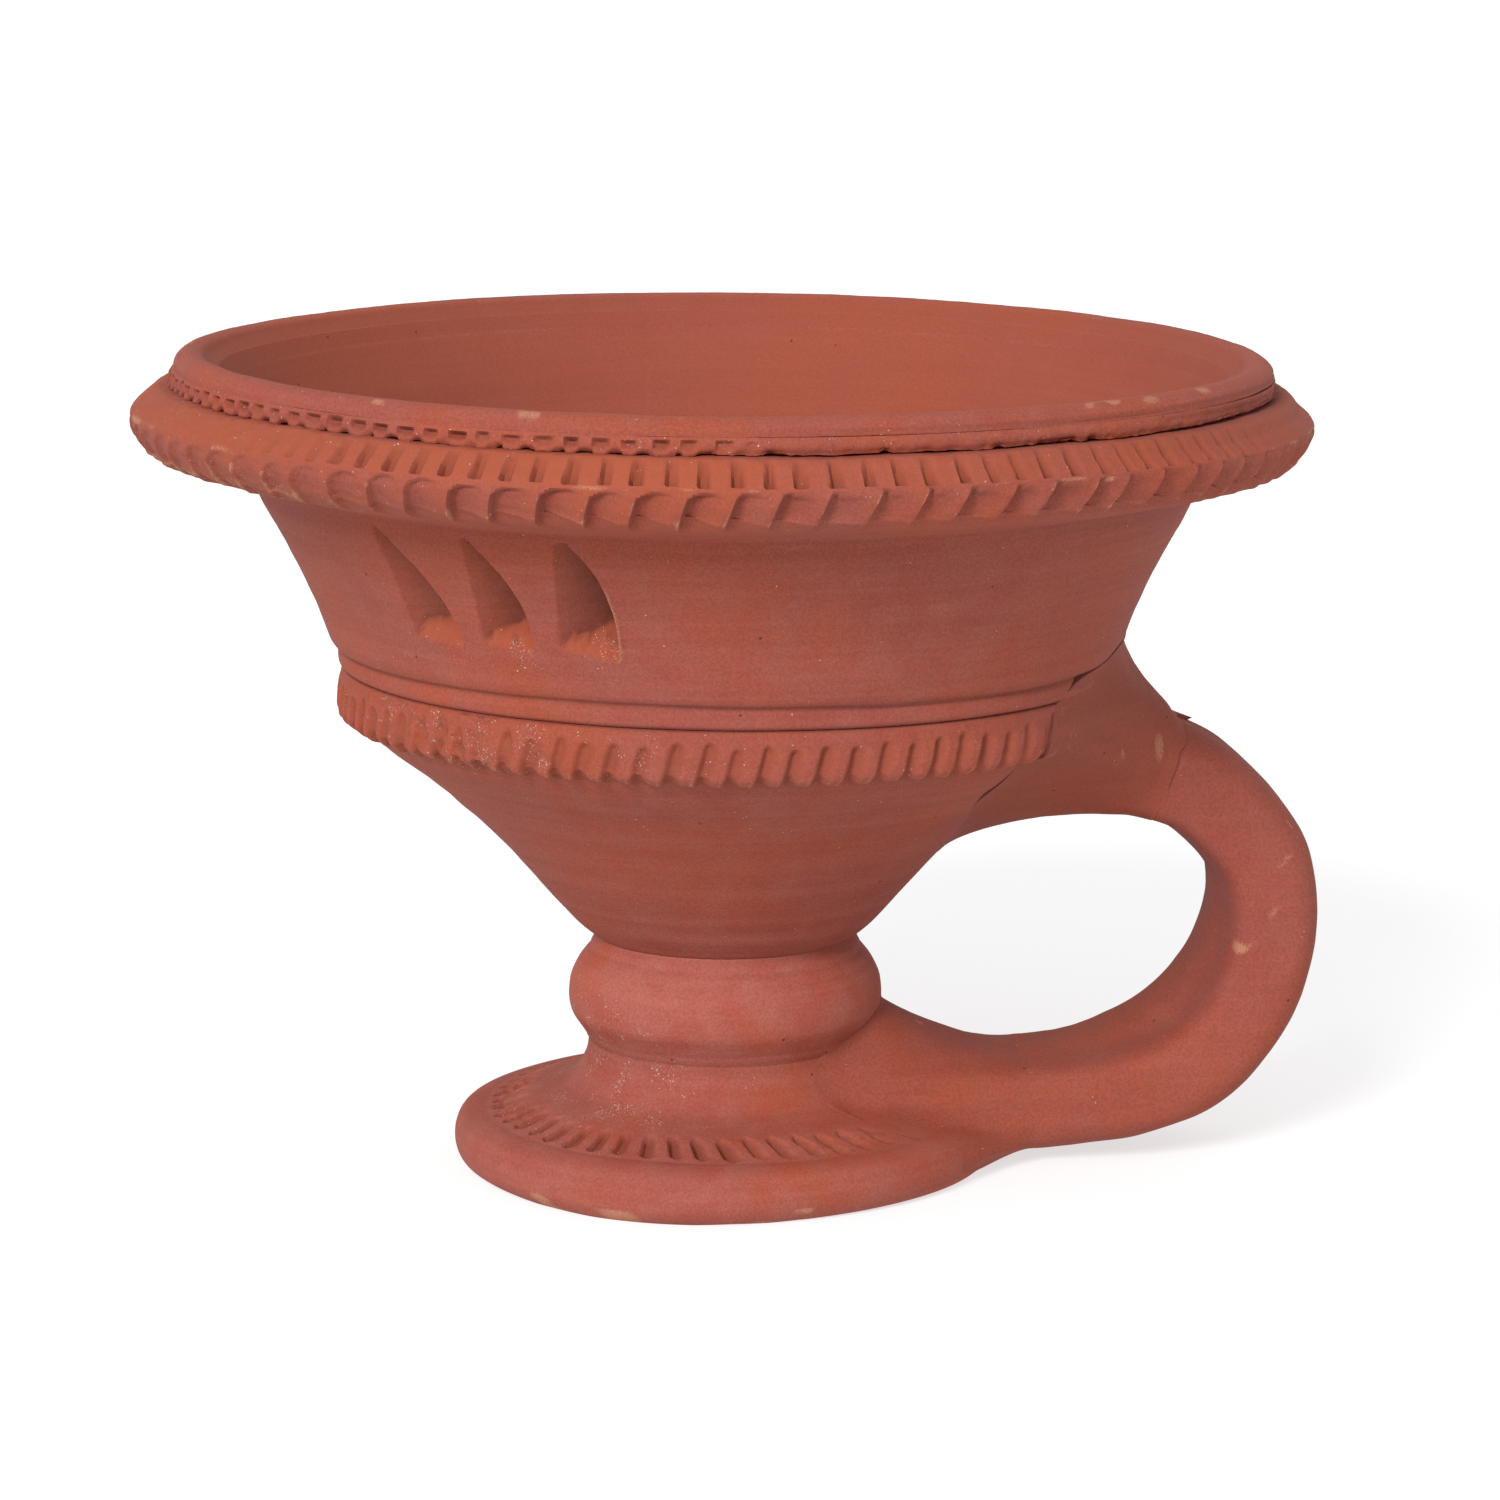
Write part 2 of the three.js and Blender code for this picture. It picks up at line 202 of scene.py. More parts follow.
def clay_material(name, pinkness=0.5, streaks=1.0, bright=1.0):
    """Fired terracotta: cloudy colour, throwing lines, grit, pits, scuffs, salt, and painted shade (the
    dark paint) in pits, seams, grooves, hollows and shaded faces.
    """
    material = bpy.data.materials.new(name)
    material.use_nodes = True
    n = Nodes(material)
    place = n.make("ShaderNodeTexCoord").outputs["Object"]
    place = n.make("ShaderNodeMapping", {"Vector": place, "Scale": (1000, 1000, 1000)}).outputs[0]

    clouds = n.noise(place, 0.035, 4.0)
    blotches = n.noise(place, 0.17, 3.0)
    lines = n.noise(place, 1.0, 3.0, stretch=(0.02, 0.02, 0.75))
    grain = n.noise(place, 2.6, 3.0)
    fine = n.noise(place, 7.0, 2.0)

    colour = n.mix(n.between(clouds, 0.38, 0.62), RED, ORANGE)
    bloom = n.math("ADD", n.between(blotches, 0.3, 0.7, 0.0, 0.95), n.between(clouds, 0.7, 0.4, -0.2, 0.2))
    bloom = n.math("ADD", bloom, n.between(lines, 0.35, 0.65, -0.10 * streaks, 0.10 * streaks))
    colour = n.mix(n.math("MULTIPLY", bloom, pinkness, clamp=True), colour, PINK)
    shade = n.between(grain, 0.3, 0.7, 0.87 * bright, 1.11 * bright)
    shade = n.math("MULTIPLY", shade, n.between(lines, 0.3, 0.7, 0.96, 1.03))
    shade_colour = n.make("ShaderNodeCombineColor", {0: shade, 1: shade, 2: shade}).outputs[0]
    colour = n.mix(1.0, colour, shade_colour, "MULTIPLY")

    colour = n.mix(n.math("MULTIPLY", n.paint("fresh"), 0.75), colour, FRESH)

    scuffed = n.math("ADD", n.paint("worn"), n.between(fine, 0.3, 0.7, -0.35, 0.2))
    scuffed = n.between(scuffed, 0.35, 0.8)
    colour = n.mix(n.math("MULTIPLY", scuffed, 0.6), colour, SCUFF)

    # Pits: dented, and painted dark as painted shade.
    pores = n.cells(place, 0.42)
    pore = n.between(pores.outputs["Distance"], 0.06, 0.12, 1.0, 0.0)
    rare = n.make("ShaderNodeSeparateColor", {0: pores.outputs["Color"]}).outputs[0]
    pore = n.math("MULTIPLY", pore, n.between(rare, 0.95, 0.96))
    colour = n.mix(n.math("MULTIPLY", pore, 0.75), colour, PAINTED_SHADE)

    jagged = n.make("ShaderNodeTexNoise", {"Vector": place, "Scale": 3.0, "Detail": 2.0}).outputs["Color"]
    jagged = n.make("ShaderNodeVectorMath", {0: jagged, "Scale": 0.55}, operation="SCALE").outputs[0]
    jagged = n.make("ShaderNodeVectorMath", {0: place, 1: jagged}, operation="ADD").outputs[0]
    specks = n.cells(jagged, 3.4)
    chance = n.make("ShaderNodeSeparateColor", {0: specks.outputs["Color"]}).outputs[1]
    patch = n.between(n.noise(place, 0.24, 3.0), 0.44, 0.84)
    wanted = n.math("MULTIPLY", n.paint("salt"), patch)
    speck = n.math("LESS_THAN", chance, wanted)
    speck = n.math("MULTIPLY", speck, n.between(specks.outputs["Distance"], 0.20, 0.40, 1.0, 0.0))
    dust = n.math("MULTIPLY", n.math("MULTIPLY", n.paint("salt"), patch), n.between(grain, 0.45, 0.75))
    colour = n.mix(n.math("MULTIPLY", dust, 0.2), colour, SALT)
    colour = n.mix(n.math("MULTIPLY", speck, 0.7), colour, SALT)

    # The dark paint is painted shade, mixed towards a dark shade colour.
    colour = n.mix(n.math("MULTIPLY", n.paint("dark"), 0.85, clamp=True), colour, PAINTED_SHADE)

    height = n.math("ADD", n.math("MULTIPLY", grain, 0.10), n.math("MULTIPLY", fine, 0.035))
    height = n.math("ADD", height, n.math("MULTIPLY", lines, 0.10 * streaks))
    height = n.math("SUBTRACT", height, n.math("MULTIPLY", pore, 0.25))
    height = n.math("ADD", height, n.math("MULTIPLY", speck, 0.12))
    bump = n.make("ShaderNodeBump", {"Strength": 0.55, "Distance": MM, "Height": height})

    shader = n.make(
        "ShaderNodeBsdfPrincipled",
        {
            "Base Color": colour,
            "Roughness": n.between(blotches, 0.3, 0.7, 0.80, 0.93),
            "Specular IOR Level": 0.25,
            "Normal": bump.outputs[0],
        },
    )
    output = n.make("ShaderNodeOutputMaterial")
    n.link(shader.outputs[0], output, "Surface")
    return material


# ---------------------------------------------------------------- shape tools

LATTICE_SIZE = 32
LATTICE = np.random.default_rng(11).random((LATTICE_SIZE, LATTICE_SIZE, LATTICE_SIZE))


def lumps(x, y, z, size, shift=0.0):
    """Smooth noise from -1 to 1, whose lumps are about `size` mm apart."""
    places = [np.asarray(value, float) / size + shift for value in (x, y, z)]
    places = np.broadcast_arrays(*places)
    floors = [np.floor(value) for value in places]
    parts = [value - low for value, low in zip(places, floors)]
    parts = [part * part * (3 - 2 * part) for part in parts]
    cells = [low.astype(int) % LATTICE_SIZE for low in floors]
    total = 0.0
    for corner in range(8):
        weight = 1.0
        index = []
        for axis in range(3):
            up = (corner >> axis) & 1
            index.append((cells[axis] + up) % LATTICE_SIZE)
            weight = weight * (parts[axis] if up else 1 - parts[axis])
        total = total + weight * LATTICE[tuple(index)]
    return 2 * total - 1


def full_turn(count):
    return np.linspace(0, 2 * math.pi, count, endpoint=False)


def bearing(angle):
    """An angle in radians as degrees from the handle's side, from -180 to 180."""
    return (np.degrees(angle) + 180) % 360 - 180


def step(value, low, high):
    """0 up to `low`, 1 from `high`, and smooth between them."""
    part = np.clip((np.asarray(value, float) - low) / (high - low), 0, 1)
    return part * part * (3 - 2 * part)


def between(value, start, full, falling, end):
    """1 from `full` to `falling`, 0 before `start` and after `end`, and smooth between them."""
    return step(value, start, full) * (1 - step(value, falling, end))


def bump_at(value, middle, width):
    """1 at `middle`, fading out on both sides."""
    return np.exp(-(((value - middle) / width) ** 2))


def hermite(t, start, leaving, end, arriving):
    """A cubic from start to end, with its slope at each."""
    first = (2 * t**3 - 3 * t**2 + 1) * start + (t**3 - 2 * t**2 + t) * leaving
    return first + (3 * t**2 - 2 * t**3) * end + (t**3 - t**2) * arriving


def smooth_line(points, gap=0.05):
    """A smooth line through a few points, as points about `gap` apart."""
    points = np.array(points, float)
    spans = np.linalg.norm(np.diff(points, axis=0), axis=1)
    knots = np.concatenate([[0], np.cumsum(spans)])
    slopes = np.diff(points, axis=0) / spans[:, None]
    tangents = np.empty_like(points)
    tangents[0], tangents[-1] = slopes[0], slopes[-1]
    before, after = spans[:-1, None], spans[1:, None]
    tangents[1:-1] = (slopes[:-1] * after + slopes[1:] * before) / (before + after)
    where = np.linspace(0, knots[-1], max(2, int(knots[-1] / gap) + 1))
    k = np.clip(np.searchsorted(knots, where, "right") - 1, 0, len(spans) - 1)
    t = ((where - knots[k]) / spans[k])[:, None]
    span = spans[k][:, None]
    return hermite(t, points[k], span * tangents[k], points[k + 1], span * tangents[k + 1])


class Rows:
    """The rows of a turned piece: radius, height, outward direction and run number of each.

    A run is (spacing, points): a smooth line through its points, with rows that far apart.
    Runs meet in corners, which are rounded over about `rounding` mm, except the starts of the
    runs in `sharp`, where this piece meets the next one flush.
    """

    def __init__(self, runs, closed=True, rounding=0.3, sharp=()):
        gap = 0.05
        lines, picks, labels, start = [], [], [], 0
        corners = []
        for number, (spacing, points) in enumerate(runs):
            line = smooth_line(points, gap)[:-1]
            count = max(1, round(len(line) * gap / spacing))
            picks.append(start + np.round(np.arange(count) * len(line) / count).astype(int))
            labels.append(np.full(count, number))
            lines.append(line)
            if number in sharp:
                corners.append(start)
            start += len(line)
        if not closed:
            lines.append(np.array([runs[-1][1][-1]], float))
            picks.append(np.array([start]))
            labels.append(np.array([len(runs) - 1]))
        line = np.concatenate(lines)
        reach = int(4 * rounding / gap)
        kernel = np.exp(-0.5 * (np.arange(-reach, reach + 1) * gap / rounding) ** 2)
        kernel /= kernel.sum()
        if closed:
            padded = np.concatenate([line[-reach - 1 :], line, line[: reach + 1]])
        else:
            head = 2 * line[0] - line[reach + 1 : 0 : -1]
            tail = 2 * line[-1] - line[-2 : -reach - 3 : -1]
            padded = np.concatenate([head, line, tail])
        soft = np.stack([np.convolve(padded[:, axis], kernel, "valid") for axis in (0, 1)], 1)
        along = soft[2:] - soft[:-2]
        soft = soft[1:-1]
        for corner in corners:
            away = np.abs(np.arange(len(line)) - corner)
            away = np.minimum(away, len(line) - away) * gap
            blend = step(away, 0, 4 * rounding)[:, None]
            soft = line + (soft - line) * blend
        along /= np.maximum(np.linalg.norm(along, axis=1), 1e-9)[:, None]
        keep = np.concatenate(picks)
        self.run = np.concatenate(labels)[:, None]
        self.r = soft[keep, 0][:, None]
        self.z = soft[keep, 1][:, None]
        self.out_r = along[keep, 1][:, None]
        self.out_z = -along[keep, 0][:, None]
        self.closed = closed

    def place(self, angle):
        return self.r * np.cos(angle), self.r * np.sin(angle)


def notch_edges(count, seed, jitter=0.10):
    """Angles of the edges between the notches of a ring, in radians, unevenly spaced by hand."""
    pitch = 2 * math.pi / count
    moved = np.random.default_rng(seed).uniform(-jitter, jitter, count) * pitch
    edges = np.arange(count) * pitch + moved
    return np.concatenate([edges, [edges[0] + 2 * math.pi]])


def notch_columns(edges, each):
    """Column angles with the same number of columns in every notch."""
    parts = np.arange(each) / each
    widths = np.diff(edges)[:, None]
    return (edges[:-1, None] + widths * parts).ravel()[None, :]


def in_notch(angle, edges):
    """Number of the notch that an angle lies in, and how far across it, from 0 to 1."""
    angle = (angle - edges[0]) % (2 * math.pi) + edges[0]
    number = np.clip(np.searchsorted(edges, angle, "right") - 1, 0, len(edges) - 2)
    across = (angle - edges[number]) / (edges[number + 1] - edges[number])
    return number, across


def settle(x, y, z):
    """The hand-made pot's own unevenness: it leans towards the handle and isn't quite round."""
    upper = step(z, 30, 78)
    swell = 0.22 * lumps(x, y, z, 41) * upper
    angle = np.arctan2(y, x)
    oval = 1 + 0.0022 * np.cos(2 * angle + 0.9) * upper
    radius = np.hypot(x, y) + 1e-9
    scale = oval * (1 + swell / np.maximum(radius, 12))
    dip = LEAN * x * upper + 0.22 * np.sin(3 * angle + 0.7) * step(z, 78, 118) * step(radius, 20, 60)
    dip = dip - 0.6 * step(y + 0.3 * x, 0, 70) * step(z, 78, 118) * step(radius, 20, 60)
    return x * scale, y * scale, z - dip


def thrown(rows, angle):
    """Throwing lines, finger waves and grit of a turned surface, outwards in mm."""
    x, y = rows.place(angle)
    rings = lumps(x * 0.035, y * 0.035, rows.z, 1.9)
    waves = lumps(x, y, rows.z, 11, 0.4)
    return 0.055 * rings + 0.07 * waves


def grid_faces(rows, columns, closed):
    last = rows if closed else rows - 1
    i = np.arange(last)[:, None]
    j = np.arange(columns)[None, :]
    up = (i + 1) % rows
    right = (j + 1) % columns
    corners = (i * columns + j, i * columns + right, up * columns + right, up * columns + j)
    return np.stack(np.broadcast_arrays(*corners), -1).reshape(-1, 4)


def fan(tip, start, columns, turned=False):
    """Triangles from one point to a ring of points."""
    j = np.arange(columns)
    near, far = start + j, start + (j + 1) % columns
    sides = (far, near) if turned else (near, far)
    return np.stack([tip + 0 * j, *sides], 1)


def add_piece(name, points, quads, triangles, paint, material):
    """A mesh object that stands for the CAD node of the same name."""
    mesh = bpy.data.meshes.new(name)
    mesh.vertices.add(len(points))
    mesh.vertices.foreach_set("co", (np.asarray(points) * MM).astype(np.float32).ravel())
    triangles = np.asarray(triangles, int).reshape(-1, 3)
    loops = np.concatenate([quads.ravel(), triangles.ravel()]).astype(np.int32)
    sizes = np.concatenate([np.full(len(quads), 4), np.full(len(triangles), 3)])
    mesh.loops.add(len(loops))
    mesh.loops.foreach_set("vertex_index", loops)
    mesh.polygons.add(len(sizes))
    mesh.polygons.foreach_set("loop_start", (np.cumsum(sizes) - sizes).astype(np.int32))
    mesh.update(calc_edges=True)
    mesh.validate()
    for key in ("worn", "fresh", "salt", "dark"):
        layer = mesh.attributes.new(key, "FLOAT", "POINT")
        values = np.clip(np.broadcast_to(paint.get(key, 0.0), len(points)), 0, 1)
        layer.data.foreach_set("value", values.astype(np.float32))
    mesh.set_sharp_from_angle(angle=math.radians(CREASE))
    mesh.materials.append(material)
    piece = bpy.data.objects.new(f"{name}_clay", mesh)
    bpy.context.collection.objects.link(piece)
    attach(piece, "root")
    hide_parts(name)


def add_turned(name, rows, angle, lift, material, paint=None, radius=None, height=None, split=None):
    """A turned piece from its rows, with `lift` mm added outwards at each row and column."""
    shape = lift.shape
    radius = (rows.r if radius is None else radius) + rows.out_r * lift
    height = (rows.z if height is None else height) + rows.out_z * lift
    angle = np.broadcast_to(angle, shape)
    x, y, z = settle(radius * np.cos(angle), radius * np.sin(angle), height)
    z = np.where(rows.z < 0.02, 0.0, np.maximum(z, 0.0))
    count, columns = shape
    points = np.stack([x, y, z], -1)
    paint = {key: np.broadcast_to(value, shape).ravel() for key, value in (paint or {}).items()}
    triangles = np.empty((0, 3), int)
    if rows.closed:
        quads = grid_faces(count, columns, True)
        points = points.reshape(-1, 3)
    else:
        quads = grid_faces(count - 2, columns, False)
        inner = points[1:-1].reshape(-1, 3)
        poles = np.array([[0, 0, points[0, :, 2].mean()], [0, 0, points[-1, :, 2].mean()]])
        points = np.concatenate([inner, poles])
        paint = {key: np.append(value.reshape(shape)[1:-1].ravel(), [0, 0]) for key, value in paint.items()}
        bottom = fan(len(inner), 0, columns, turned=True)
        top = fan(len(inner) + 1, (count - 3) * columns, columns)
        triangles = np.concatenate([bottom, top])
    if split is not None:
        quads, triangles = split(quads, triangles)
    add_piece(name, points, quads, triangles, paint, material)


def span(node):
    """Lowest and highest corner of a CAD node, in mm."""
    low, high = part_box(node)
    return np.array(low) / MM, np.array(high) / MM


# ---------------------------------------------------------------- the pot's outside line

FOOT_TOP = span("foot")[1][2] + 0.15
NECK = span("stem_knop")[1][2] + 0.15
WAIST_TOP = span("waist_band")[1][2]
COLLAR_TOP = span("collar")[1][2]
ROPE_TOP = span("rim_rope")[1][2]
RIM_TOP = span("rim_lip")[1][2]
BASE_RADIUS = span("foot")[1][0]
COLLAR_RADIUS = span("collar")[1][1]

FOOT_EDGE = [(39.3, 0), (41.0, 0.7), (BASE_RADIUS, 3.0), (BASE_RADIUS - 0.1, 4.9)]
FOOT_EDGE += [(41.0, 6.7), (39.4, 7.6), (37.2, 8.0)]
FOOT_RING = [(37.2, 8.0), (35.7, 8.35), (30.0, 10.3), (27.4, 11.0)]
FOOT_CONE = [(27.4, 11.0), (24.3, 12.2), (22.3, 14.6), (21.35, 16.9), (21.1, FOOT_TOP)]
KNOP = [(21.1, FOOT_TOP), (22.1, 20.6), (23.8, 23.4), (24.2, 25.8)]
KNOP += [(23.9, 28.1), (22.7, 30.9), (21.0, 33.2), (19.9, NECK)]
CONE = [(19.9, NECK), (22.3, 37.2), (28.1, 43.4), (34.5, 50.5)]
CONE += [(40.5, 56.4), (46.3, 61.5), (52.9, 66.4), (55.4, 69.0)]
BEAD = [(58.0, WAIST_TOP), (58.55, WAIST_TOP + 0.35), (58.85, WAIST_TOP + 1.6), (58.7, WAIST_TOP + 2.9)]
BEAD_TOP = [(58.7, WAIST_TOP + 2.9), (59.5, WAIST_TOP + 3.6), (60.1, WAIST_TOP + 4.4)]
FLARE = [(60.1, WAIST_TOP + 4.4), (62.0, 86.9), (65.9, 95.2), (70.4, 103.5), (71.7, 106.6)]


# ---------------------------------------------------------------- turned pieces


def make_foot(material):
    runs = [
        (1.6, [(31.0, 0), (39.3, 0)]),
        (0.5, FOOT_EDGE),
        (0.36, FOOT_RING),
        (0.5, FOOT_CONE),
        (2.2, [(21.1, FOOT_TOP), (12.6, FOOT_TOP)]),
        (1.6, [(12.6, FOOT_TOP), (13.4, 11.0), (20.0, 5.4), (31.0, 0)]),
    ]
    rows = Rows(runs, sharp=(4,))
    count = 52
    edges = notch_edges(count, 5)
    columns = notch_columns(edges, 12)
    ring = rows.run == 2
    # Most notches are turned about 20 degrees from straight outwards, but not those on the left.
    turned = 0.05 + 0.95 * step(bearing(columns), -146, -100)
    lean = np.where(ring, (rows.r - 33.2) * 0.0115, 0) * turned
    fading = 1 - step(np.abs(rows.r - 33.2), 2.9, 4.6)
    angle = columns + lean * fading
    number, across = in_notch(columns, edges)
    random = np.random.default_rng(8)
    depth = random.uniform(1.1, 1.6, count)[number]
    reach = random.uniform(-0.35, 0.35, count)[number]
    wall = between(across, 0.12, 0.28, 0.40, 0.78)
    taper = 3.0 * np.abs(across - 0.4)
    ends = step(rows.r - taper, 30.2 + reach, 31.3 + reach) * ring
    ends = ends * (1 - step(rows.r + taper, 35.8 + reach, 36.5 + reach))
    around = bearing(columns)
    crisp = step(np.abs(around), 44, 76) * ends
    press = 0.95 * depth * wall * crisp
    x, y = rows.place(angle)
    scratched = (1 - np.abs(np.abs(around) - 62) / 22).clip(0, 1) + step(np.abs(around), 148, 165)
    scratched = scratched * ends
    rough = lumps(x, y, rows.z, 0.9) + lumps(x, y, rows.z, 1.9, 0.3)
    seam = bump_at(rows.z, FOOT_TOP, 0.9) * (rows.run >= 3)
    lift = thrown(rows, angle) * (rows.z > 0.3) * (1 - seam) - press + 0.30 * rough * scratched
    crease = bump_at(rows.r, 37.1, 0.45) * bump_at(rows.z, 8.1, 0.8)
    lift = lift - 0.10 * crease
    # The edge bulges a little at the front left.
    lift = lift + 2.0 * bump_at(around, -112, 32) * bump_at(rows.z, 2.6, 3.0) * (rows.run == 1)
    inside = rows.run >= 4
    lift = np.where(inside, 0.0, lift)
    salty = bump_at(around, -145, 30) + bump_at(around, 140, 30) * 0.6
    salt = 0.85 * salty * step(rows.z, 7, 12) * (rows.run >= 2)
    edge = bump_at(rows.z, 2.0, 2.2) * (rows.run == 1)
    marks = lumps(x * 0.4, y * 0.4, rows.z * 1.6, 2.6, 0.7)
    paint = {
        "worn": 0.85 * edge * step(marks, 0.22, 0.6) + 0.5 * bump_at(across, 0.1, 0.08) * crisp,
        "fresh": 0.75 * wall * crisp + 0.6 * bump_at(around, 0, 62) * (rows.z > 6.5),
        "salt": salt,
        # dark: painted shade in the notches and at the seam under the knop; the scratched patches are
        # darker on their lumps.
        "dark": 0.32 * press + 0.35 * scratched * step(rough, 0.4, 1.1) + 0.12 * seam,
    }
    add_turned("foot", rows, angle, lift, material, paint)


def make_knop(material):
    runs = [
        (2.2, [(12.6, FOOT_TOP), (21.1, FOOT_TOP)]),
        (0.42, KNOP),
        (2.2, [(19.9, NECK), (12.4, NECK)]),
        (2.0, [(12.4, NECK), (15.0, 27.0), (12.6, FOOT_TOP)]),
    ]
    rows = Rows(runs, sharp=(1, 2))
    angle = full_turn(360)[None, :]
    outside = rows.run == 1
    flush = 1 - bump_at(rows.z, FOOT_TOP, 0.9) - bump_at(rows.z, NECK, 0.9)
    wavy = 0.25 * np.sin(angle * 2 + 0.4)
    line = bump_at(rows.z, 33.1 + wavy, 0.32) + 0.5 * bump_at(rows.z, 20.2 - wavy, 0.4)
    lift = np.where(outside, (thrown(rows, angle) * 1.3 - 0.16 * line) * flush, 0.0)
    around = bearing(angle)
    salty = bump_at(around, -165, 40) + bump_at(around, 160, 30)
    paint = {
        "salt": 0.75 * salty * (1 - step(rows.z, 23, 31)) * outside,
        # dark: painted shade in the incised lines and at the joins with the foot and the cone.
        "dark": (0.08 * line + 0.2 * (1 - flush)) * outside,
    }
    add_turned("stem_knop", rows, angle, lift, material, paint)


def make_lower_bowl(material):
    seat = 55.4
    runs = [
        (1.6, [(0, 38.6), (9.0, 37.8), (12.4, NECK)]),
        (2.2, [(12.4, NECK), (19.9, NECK)]),
        (0.6, CONE),
        (2.4, [(seat, 69.0), (seat, WAIST_TOP)]),
        (2.4, [(seat, WAIST_TOP), (49.1, WAIST_TOP)]),
        (0.9, INSIDE_LOW),
    ]
    rows = Rows(runs, closed=False, rounding=0.25, sharp=(2, 5))
    angle = full_turn(500)[None, :]
    outside = rows.run == 2
    inside = rows.run == 5
    wide = step(rows.r, 4, 22)
    flush = 1 - bump_at(rows.z, WAIST_TOP, 1.5) * inside - bump_at(rows.z, NECK, 0.9) * outside
    lift = thrown(rows, angle) * (1.25 * outside + 1.3 * inside * wide) * flush
    x, y = rows.place(angle)
    lift = lift + 0.12 * lumps(x, y, rows.z, 17, 0.2) * outside * flush
    paint = {
        "salt": 0.02 * outside,
        "fresh": 0.65 * inside,
        # dark: painted shade at the join with the knop and over the whole inside.
        "dark": 0.15 * bump_at(rows.z, NECK, 0.6) * outside + 0.12 * inside,
    }
    add_turned("lower_bowl", rows, angle, lift, material, paint)


def make_waist_band(material):
    back = 55.2
    runs = [
        (0.5, [(back, 68.5), (57.4, 69.1)]),
        (0.33, [(57.4, 69.1), (58.7, 70.0), (59.0, 72.6), (58.6, 75.2), (58.15, 76.85)]),
        (0.3, [(58.15, 76.85), (57.6, WAIST_TOP - 0.03)]),
        (2.4, [(57.6, WAIST_TOP - 0.03), (back, WAIST_TOP - 0.03)]),
        (2.4, [(back, WAIST_TOP - 0.03), (back, 68.5)]),
    ]
    rows = Rows(runs, rounding=0.28, sharp=(2, 3))
    count = 84
    edges = notch_edges(count, 21)
    columns = notch_columns(edges, 14)
    around = bearing(columns)
    face = rows.run <= 1
    zone = step(rows.z, 68.3, 69.3) * face
    lean = np.where(face, (rows.z - 72.5) * 0.0045, 0) * (1 - step(rows.z, 75.4, 76.6))
    angle = columns + lean
    number, across = in_notch(columns, edges)
    random = np.random.default_rng(22)
    depth = random.uniform(0.85, 1.2, count)[number]
    top = 75.2 + random.uniform(-0.5, 0.5, count)[number] - 1.5 * (across - 0.42) ** 2
    width = 0.56 + 0.2 * step(-around, 105, 150) + random.uniform(-0.08, 0.08, count)[number]
    wall = between(across, 0.02, 0.20, 0.28, width + 0.18)
    blunt = 0.7 + 1.1 * step(across, 0.2, 0.5)
    coarse = bump_at(around, -136, 17)
    press = depth * wall * zone * (1 - step(rows.z, top - blunt, top)) * (1 - 0.45 * coarse)
    fade = step(np.abs(around), 41, 52)
    press = press * (0.25 + 0.75 * fade)
    x, y = rows.place(angle)
    scallop = (1 - wall) * bump_at(rows.z, 69.3, 0.9) * (rows.run <= 1)
    rough = lumps(x, y, rows.z, 0.9, 0.1) + lumps(x, y, rows.z, 2.1, 0.6)
    lift = (0.09 + 0.24 * coarse) * rough * face - press + 0.22 * scallop
    lift = lift + 0.10 * lumps(x, y, rows.z, 6) * face
    lift = np.where(rows.run >= 3, 0.0, lift)
    salty = bump_at(around, -142, 24) + 0.7 * bump_at(around, -116, 20) + 0.08
    # Painted shade: in the notches, in the rough coarse hollows, at the band's top join and on its
    # underside.
    dark = 0.26 * press + 0.25 * coarse * step(-rough, 0.3, 1.0) * face
    dark = dark + 0.3 * bump_at(rows.z, WAIST_TOP, 0.25) + 0.15 * (rows.run == 0)
    paint = {
        "worn": 0.55 * bump_at(across, 0.97, 0.05) * zone * (rows.z < top) + 0.4 * scallop,
        "fresh": 0.7 * wall * zone * (1 - step(rows.z, top - 0.7, top)) + 0.15,
        "salt": 0.5 * salty * face,
        "dark": dark,
    }
    add_turned("waist_band", rows, angle, lift, material, paint)


INSIDE_LOW = [(49.1, WAIST_TOP), (44.0, 71.2), (36.0, 62.8), (27.0, 54.8)]
INSIDE_LOW += [(17.0, 48.6), (8.0, 46.4), (0, 46.0)]
INSIDE_HIGH = [(74.0, COLLAR_TOP), (67.4, 110.6), (61.8, 101.0)]
INSIDE_HIGH += [(56.6, 91.0), (52.4, 83.0), (49.1, WAIST_TOP)]

# Gouged vents: top, bottom left and bottom right as (degrees, height), depth, how far the right
# edge bows out, how blunt that bow is, and the height of the burr on the right edge.
VENTS = [
    ((-140.0, 105.7), (-139.8, 87.9), (-131.4, 87.0), 5.6, 2.9, 0.0, 0.10),
    ((-126.4, 105.5), (-128.0, 88.3), (-120.4, 87.5), 5.6, 3.0, 0.15, 0.08),
    ((-114.4, 105.1), (-116.6, 88.5), (-108.4, 87.0), 5.4, 3.7, 0.9, 0.34),
]
VENT_DEEPEST = 91.4  # height of a vent's deepest point
VENT_SIDE = 0.9  # width of a vent's steep right side there
VENT_RADIUS = 65.0  # sideways lengths on the wall are measured at this radius


